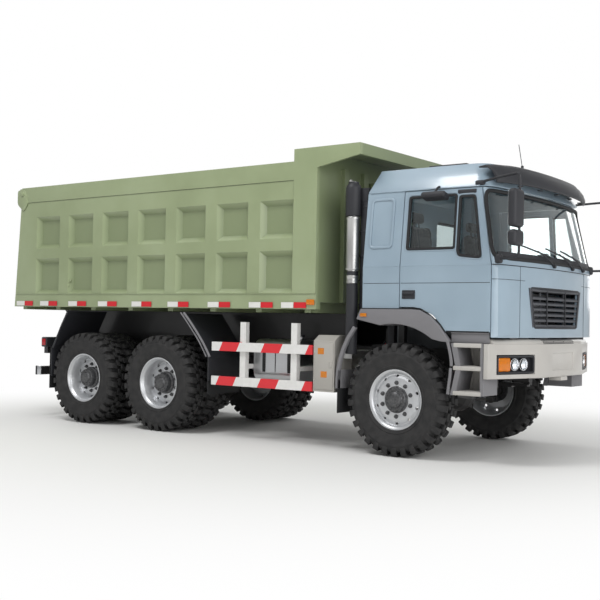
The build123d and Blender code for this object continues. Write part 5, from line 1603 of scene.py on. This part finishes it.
# %% Seams, gate pivots and tailgate ribs
for side_name, side in both_sides:
    band = [spot(side, x, rail_y_out - 0.0066, 2.812) for x in (-5.74, -3.5, -1.25)]
    tube_piece("top_band_seam_" + side_name, band, 0.0022, seal_rubber, "bed")
    rail_seam = [spot(side, x, rail_y_out + 0.0006, 1.6125) for x in (-5.84, -3.5, -0.95)]
    tube_piece("rail_edge_bead_" + side_name, rail_seam, 0.0035, bed_enamel, "bed")
    plate_outline = [
        spot(side, x, rail_y_out - 0.004, z) for x,
        z in ((-5.845, 2.80), (-5.845, 2.985), (-5.70, 2.995), (-5.63, 2.80), (-5.72, 2.70))
    ]
    plate = soften(pushed("gate_plate", round_corners(plate_outline, 0.04), (0, side * 0.010, 0)), 0.003, 2)
    pin = rod(
        0.032, spot(side, -5.735, 1.205, 2.935), spot(side, -5.735, rail_y_out + 0.022, 2.935), sides=28,
        edge=0.005
    )
    head = rod(
        0.018, spot(side, -5.735, 1.24, 2.935), spot(side, -5.735, rail_y_out + 0.032, 2.935), sides=6,
        edge=0.003
    )
    settle(joined(pin, head, plate), "gate_pivot_" + side_name, bed_enamel, "bed")
    bracket = block((0.050, 0.050, 0.030), spot(side, -4.83, 1.212, 1.715), edge=0.006, segments=2)
    lever = rod(0.012, spot(side, -4.86, 1.216, 1.70), spot(side, -4.78, 1.222, 1.79), sides=14)
    settle(joined(bracket, lever), "side_bay_bracket_" + side_name, bed_enamel, "bed")
gate_lean = math.radians(4.0)


def on_gate(y, z, sunk=0.001):
    """Middle of a rib standing 14 mm proud of the leaning tailgate's outer face."""
    return (ahead(-5.852 + (z - 1.568) * math.tan(gate_lean)) - sunk, y, z)


ribs = [
    block((0.030, 0.080, 1.260), on_gate(y, 2.225), edge=0.006, turn=(0, gate_lean, 0))
    for y in (-1.10, -0.66, -0.22, 0.22, 0.66, 1.10)
]
ribs += [
    block((0.029, 2.284, 0.085), on_gate(0, z, 0.0), edge=0.006, turn=(0, gate_lean, 0))
    for z in (1.640, 2.220, 2.800)
]
settle(joined(*ribs), "tailgate_ribs", bed_enamel, "tailgate")
print("bed fittings done")


# %% [markdown]
# ## Exhaust stack and air intake
#
# The stack is a black pipe with a wider black silencer on top and a bright ribbed shield
# below it, so that nobody burns a hand. Beside it stands the square intake duct, whose
# hooded cap faces forward. The sleeves slide over the CAD pipe.

# %% Stack
stack_at = (ahead(-0.560), -1.130)


def sleeve(name, profile, finish, steps=48):
    """Turned sleeve stood upright on the stack."""
    piece = turned(name, profile, steps=steps)
    piece.rotation_euler = (math.pi / 2, 0, 0)
    piece.location = (stack_at[0], stack_at[1], 0)
    return settle(piece, name, finish, "chassis")


pipe = ((0.057, 0.995), (0.060, 1.0), (0.060, 1.70), (0.058, 1.705), (0.058, 1.84))
sleeve("stack_lower_pipe", pipe + ((0.0555, 1.84), (0.0555, 0.995)), black_plastic)
band = (
    (0.0585, 1.715), (0.064, 1.720), (0.064, 1.735), (0.061, 1.740), (0.061, 1.775), (0.064, 1.780),
    (0.064, 1.795), (0.0585, 1.80)
)
sleeve("stack_clamp", band, shield_steel)
ribs = [
    (0.0575, 1.850), (0.068, 1.852), (0.072, 1.860), (0.072, 1.874), (0.068, 1.882), (0.068, 2.368),
    (0.072, 2.376)
]
ribs += [(0.072, 2.390), (0.068, 2.398), (0.0575, 2.402)]
sleeve("stack_heat_shield", ribs, shield_steel)
top = (
    (0.0575, 2.405), (0.075, 2.407), (0.079, 2.415), (0.079, 2.690), (0.074, 2.715), (0.055, 2.738),
    (0.055, 2.757), (0.049, 2.757), (0.049, 2.60)
)
sleeve("stack_silencer_top", top, black_plastic)
cap_pipe = bent_tube(
    "cap",
    [
        (stack_at[0], stack_at[1], 2.70), (stack_at[0], stack_at[1] - 0.002, 2.748),
        (stack_at[0] - 0.035, stack_at[1] - 0.012, 2.775)
    ],
    0.020
)
settle(cap_pipe, "stack_outlet_tip", shield_steel, "chassis")

# %% Intake duct
duct_x, duct_y = ahead(-0.455), -1.010
duct = soften(block((0.100, 0.160, 1.32), (duct_x, duct_y, 2.02), edge=0.02, segments=3), 0.002, 1)
rings = [block((0.108, 0.168, 0.020), (duct_x, duct_y, z), edge=0.006) for z in (1.50, 1.75, 2.0, 2.25, 2.5)]
hood = block((0.109, 0.172, 0.155), (duct_x, duct_y, 2.617), edge=0.030, segments=4)
vents = [
    block((0.006, 0.150, 0.010), (duct_x - 0.055, duct_y, 2.57 + 0.024 * n), edge=0.002) for n in range(5)
]
settle(joined(*rings, *vents, hood, duct), "air_intake_duct", black_plastic, "chassis")


# %% [markdown]
# ## Locker, tank and side fittings
#
# The locker door is a pressed lid with a seam, a latch and two blank orange squares. The
# tank is rolled sheet between dished ends, held by two steel straps with rubber under
# them, and has a cap.

# %% Locker doors
box_low, box_high = corners("side_boxes")
for side_name, side in both_sides:
    y = side * (box_high.y + 0.003)
    middle_x = (box_low.x + box_high.x) / 2
    lid = block((0.235, 0.008, 0.485), (middle_x, y, 0.862), edge=0.003, segments=2)
    latch = block((0.030, 0.012, 0.060), (middle_x + 0.088, y + side * 0.004, 0.875), edge=0.004)
    hinges = [
        rod(
            0.007, (middle_x - 0.118, y + side * 0.003, z - 0.03),
            (middle_x - 0.118, y + side * 0.003, z + 0.03), sides=14
        )
        for z in (0.70, 1.02)
    ]
    settle(joined(latch, *hinges, lid), "locker_door_" + side_name, box_enamel, "chassis")
    patches = [
        block((0.078, 0.002, 0.064), (middle_x + shift, y + side * 0.0045, z), edge=0.0006, segments=1)
        for shift, z in ((-0.035, 1.015), (0.005, 0.775))
    ]
    settle(joined(*patches), "locker_blank_patches_" + side_name, amber_acrylic, "chassis", smooth=0)
print("locker doors at", round(box_high.y, 3))

# %% Tank straps and cap
tank_low, tank_high = corners("fuel_tank")
tank_middle_y, tank_middle_z = -0.790, 0.880
straps = []
for x in (-1.80, -1.625, -1.455):
    corners_of_strap = [
        (ahead(x), tank_middle_y + y, tank_middle_z + z) for y,
        z in ((-0.240, -0.240), (0.240, -0.240), (0.240, 0.240), (-0.240, 0.240))
    ]
    straps.append(
        seal_ring(
            "strap", round_corners(corners_of_strap, 0.165, steps=8), 0.006,
            (0.040 if x != -1.625 else 0.006, 0, 0)
        )
    )
settle(joined(*straps), "tank_straps", seal_rubber, "chassis")
cap_parts = [rod(0.052, (ahead(-1.46), -0.79, 1.146), (ahead(-1.46), -0.79, 1.168), sides=30, edge=0.005)]
cap_parts += [rod(0.008, (ahead(-1.46) - 0.05, -0.79, 1.160), (ahead(-1.46) + 0.05, -0.79, 1.160), sides=12)]
settle(joined(*cap_parts), "tank_cap", black_plastic, "chassis")
print("tank", [round(v, 3) for v in tank_low], [round(v, 3) for v in tank_high])

# %% Mudguard edges and flaps
for side_name, side in both_sides:
    edge = [(-2.404, 0.900), (-2.470, 1.010), (-2.600, 1.170), (-2.760, 1.345), (-2.812, 1.392)]
    strip = bent_tube("guard_edge", [spot(side, x, 1.226, z) for x, z in edge], 0.014)
    second = bent_tube("guard_edge", [spot(side, x - 0.050, 1.226, z) for x, z in edge], 0.010)
    settle(joined(second, strip), "mudguard_edge_front_" + side_name, grey_plastic, "chassis")
    edge = [(-4.815, 1.385), (-4.90, 1.27), (-5.00, 1.09), (-5.085, 0.92)]
    strip = bent_tube("guard_edge", [spot(side, x, 1.226, z) for x, z in edge], 0.012)
    settle(strip, "mudguard_edge_rear_" + side_name, black_plastic, "chassis")
    flap = block((0.010, 0.560, 0.430), spot(side, -2.440, 0.935, 0.690), edge=0.003)
    settle(flap, "mud_flap_middle_" + side_name, seal_rubber, "chassis")
    flap = block((0.010, 0.560, 0.520), spot(side, -5.160, 0.935, 0.660), edge=0.003)
    settle(flap, "mud_flap_rear_" + side_name, seal_rubber, "chassis")
print("flaps hung")

# %% Rear lamps and bar ends
rear_blocks = (
    # name, size, place, edge, finish
    ("tail_lamp_housing_", (0.110, 0.340, 0.130), (-5.425, 0.935, 0.985), 0.018, black_plastic),
    ("tail_lamp_amber_", (0.014, 0.088, 0.095), (-5.481, 0.938, 0.985), 0.006, amber_acrylic),
    ("tail_lamp_side_", (0.070, 0.012, 0.085), (-5.425, 1.1045, 0.985), 0.005, red_acrylic),
    ("rear_bar_tip_", (0.028, 0.024, 0.118), (-5.532, 1.123, 0.611), 0.006, black_plastic),
    ("rear_bar_end_", (0.078, 0.020, 0.112), (-5.480, 1.121, 0.611), 0.005, rolled_aluminium),
)
for side_name, side in both_sides:
    reds = [block((0.014, 0.105, 0.095), spot(side, -5.481, y, 0.985), 0.006, 3) for y in (0.835, 1.040)]
    settle(joined(*reds), "tail_lamp_red_" + side_name, red_acrylic, "chassis")
    for name, size, (x, y, z), edge, finish in rear_blocks:
        piece = block(size, spot(side, x, y, z), edge, 3)
        settle(piece, name + side_name, finish, "chassis")
bar_low, bar_high = corners("rear_bar")
print("rear bar", [round(v, 3) for v in bar_low], [round(v, 3) for v in bar_high])


# %% [markdown]
# ## Seats
#
# A driver's seat is foam in a sewn woven cover on a sprung base. The cushion is crowned
# between its corners. It starts as a slightly small rounded block and is blown up by a
# cloth simulation with pressure, no gravity, and a limit on how far a point may move.
# The sewn channels are pressed in afterwards, since a remesh would erase them. One cushion
# and one back are made, then copied to the other seat.

# %% Blowing up a pad
def blown_up(pad, voxel=0.009, pressure=4.0, limit=0.020):
    """Remeshes a block, inflates it as cloth and holds each point within a limit."""
    pick_only(pad)
    bpy.ops.object.transform_apply(location=True, rotation=True, scale=True)
    shape(pad, "REMESH", mode="VOXEL", voxel_size=voxel)
    shape(pad, "SMOOTH", factor=0.5, iterations=4)
    start = [v.co.copy() for v in pad.data.vertices]
    cloth = pad.modifiers.new("Cloth", "CLOTH")
    cloth.settings.quality = 4
    cloth.settings.mass = 0.3
    cloth.settings.use_pressure = True
    cloth.settings.uniform_pressure_force = pressure
    cloth.settings.effector_weights.gravity = 0
    cloth.collision_settings.use_collision = False
    for number in range(1, 16):
        bpy.context.scene.frame_set(number)
    pick_only(pad)
    bpy.ops.object.modifier_apply(modifier=cloth.name)
    for vertex, first in zip(pad.data.vertices, start):
        moved = vertex.co - first
        if moved.length > limit:
            vertex.co = first + moved.normalized() * limit
    bpy.context.scene.frame_set(1)
    return pad


def stitched(pad, lines, depth=0.007, width=0.010):
    """Presses sewn channels into a pad: lines are (axis, place) planes."""
    for vertex in pad.data.vertices:
        for axis, place_at in lines:
            off = abs(vertex.co[axis] - place_at)
            if off < 3 * width:
                vertex.co -= vertex.normal * depth * math.exp(-((off / width) ** 2))
    return pad


def pad_block(size, edge):
    """Rounded block that a pad starts from."""
    return block(size, (0, 0, 0), edge=edge, segments=4)


cushion = stitched(blown_up(pad_block((0.445, 0.445, 0.104), 0.035)), ((1, -0.135), (1, 0.135), (0, 0.165)))
backrest = stitched(
    blown_up(pad_block((0.090, 0.420, 0.440), 0.032)), ((1, -0.125), (1, 0.125), (2, 0.10), (2, -0.06))
)
headrest = blown_up(pad_block((0.075, 0.250, 0.110), 0.030))
print("pads", [len(p.data.polygons) for p in (cushion, backrest, headrest)])

# %% Seat frames and pads in place
lean = math.radians(-7)
for side_name, side in both_sides:
    y = side * 0.640
    for name, pad, at, turn in (
        ("cushion", cushion, (ahead(0.160), y, 1.862), 0.0),
        ("backrest", backrest, (ahead(-0.055), y, 2.110), lean),
        ("headrest", headrest, (ahead(-0.102), y, 2.413), lean),
    ):
        twin = twin_of(pad)
        twin.rotation_euler = (0, turn, 0)
        twin.location = at
        shape(twin, "SUBSURF", levels=1, render_levels=1)
        settle(twin, "seat_" + name + "_" + side_name, seat_cloth, "cab", smooth=80)
for pad in (cushion, backrest, headrest):
    bpy.data.objects.remove(pad)
frame_parts = []
for side in (1, -1):
    y = side * 0.640
    frame_parts.append(block((0.40, 0.40, 0.020), (ahead(0.150), y, 1.790), edge=0.006))
    for n in range(7):
        frame_parts.append(
            block(
                (0.285 - 0.02 * (n % 2), 0.285 - 0.02 * (n % 2), 0.026), (ahead(0.140), y, 1.620 + 0.024 * n),
                edge=0.008
            )
        )
    frame_parts.append(block((0.30, 0.30, 0.110), (ahead(0.140), y, 1.548), edge=0.012))
    for z_turn in (-0.19, 0.19):
        frame_parts.append(
            rod(
                0.013, (ahead(-0.045), y + z_turn * 0.9, 1.80), (ahead(-0.085), y + z_turn * 0.9, 2.30),
                sides=14
            )
        )
    for pin in (-0.05, 0.05):
        frame_parts.append(
            rod(0.006, (ahead(-0.090), y + pin, 2.28), (ahead(-0.104), y + pin, 2.40), sides=12)
        )
settle(joined(*frame_parts), "seat_frames_and_bellows", interior_plastic, "cab", replaces=("seats",))
print("seats dressed")

# %% Dashboard
softened_copy("dashboard", "dashboard_moulding", interior_plastic, "cab", 0.010)
dash_parts = [block((0.10, 0.42, 0.030), (ahead(0.815), 0.560, 1.925), edge=0.012, segments=3)]
dash_parts += [
    block((0.012, 0.11, 0.045), (ahead(0.757), y, 1.860), edge=0.004)
    for y in (-0.80, -0.50, -0.10, 0.10, 1.0)
]
settle(joined(*dash_parts), "dash_hood_and_vents", black_plastic, "cab")


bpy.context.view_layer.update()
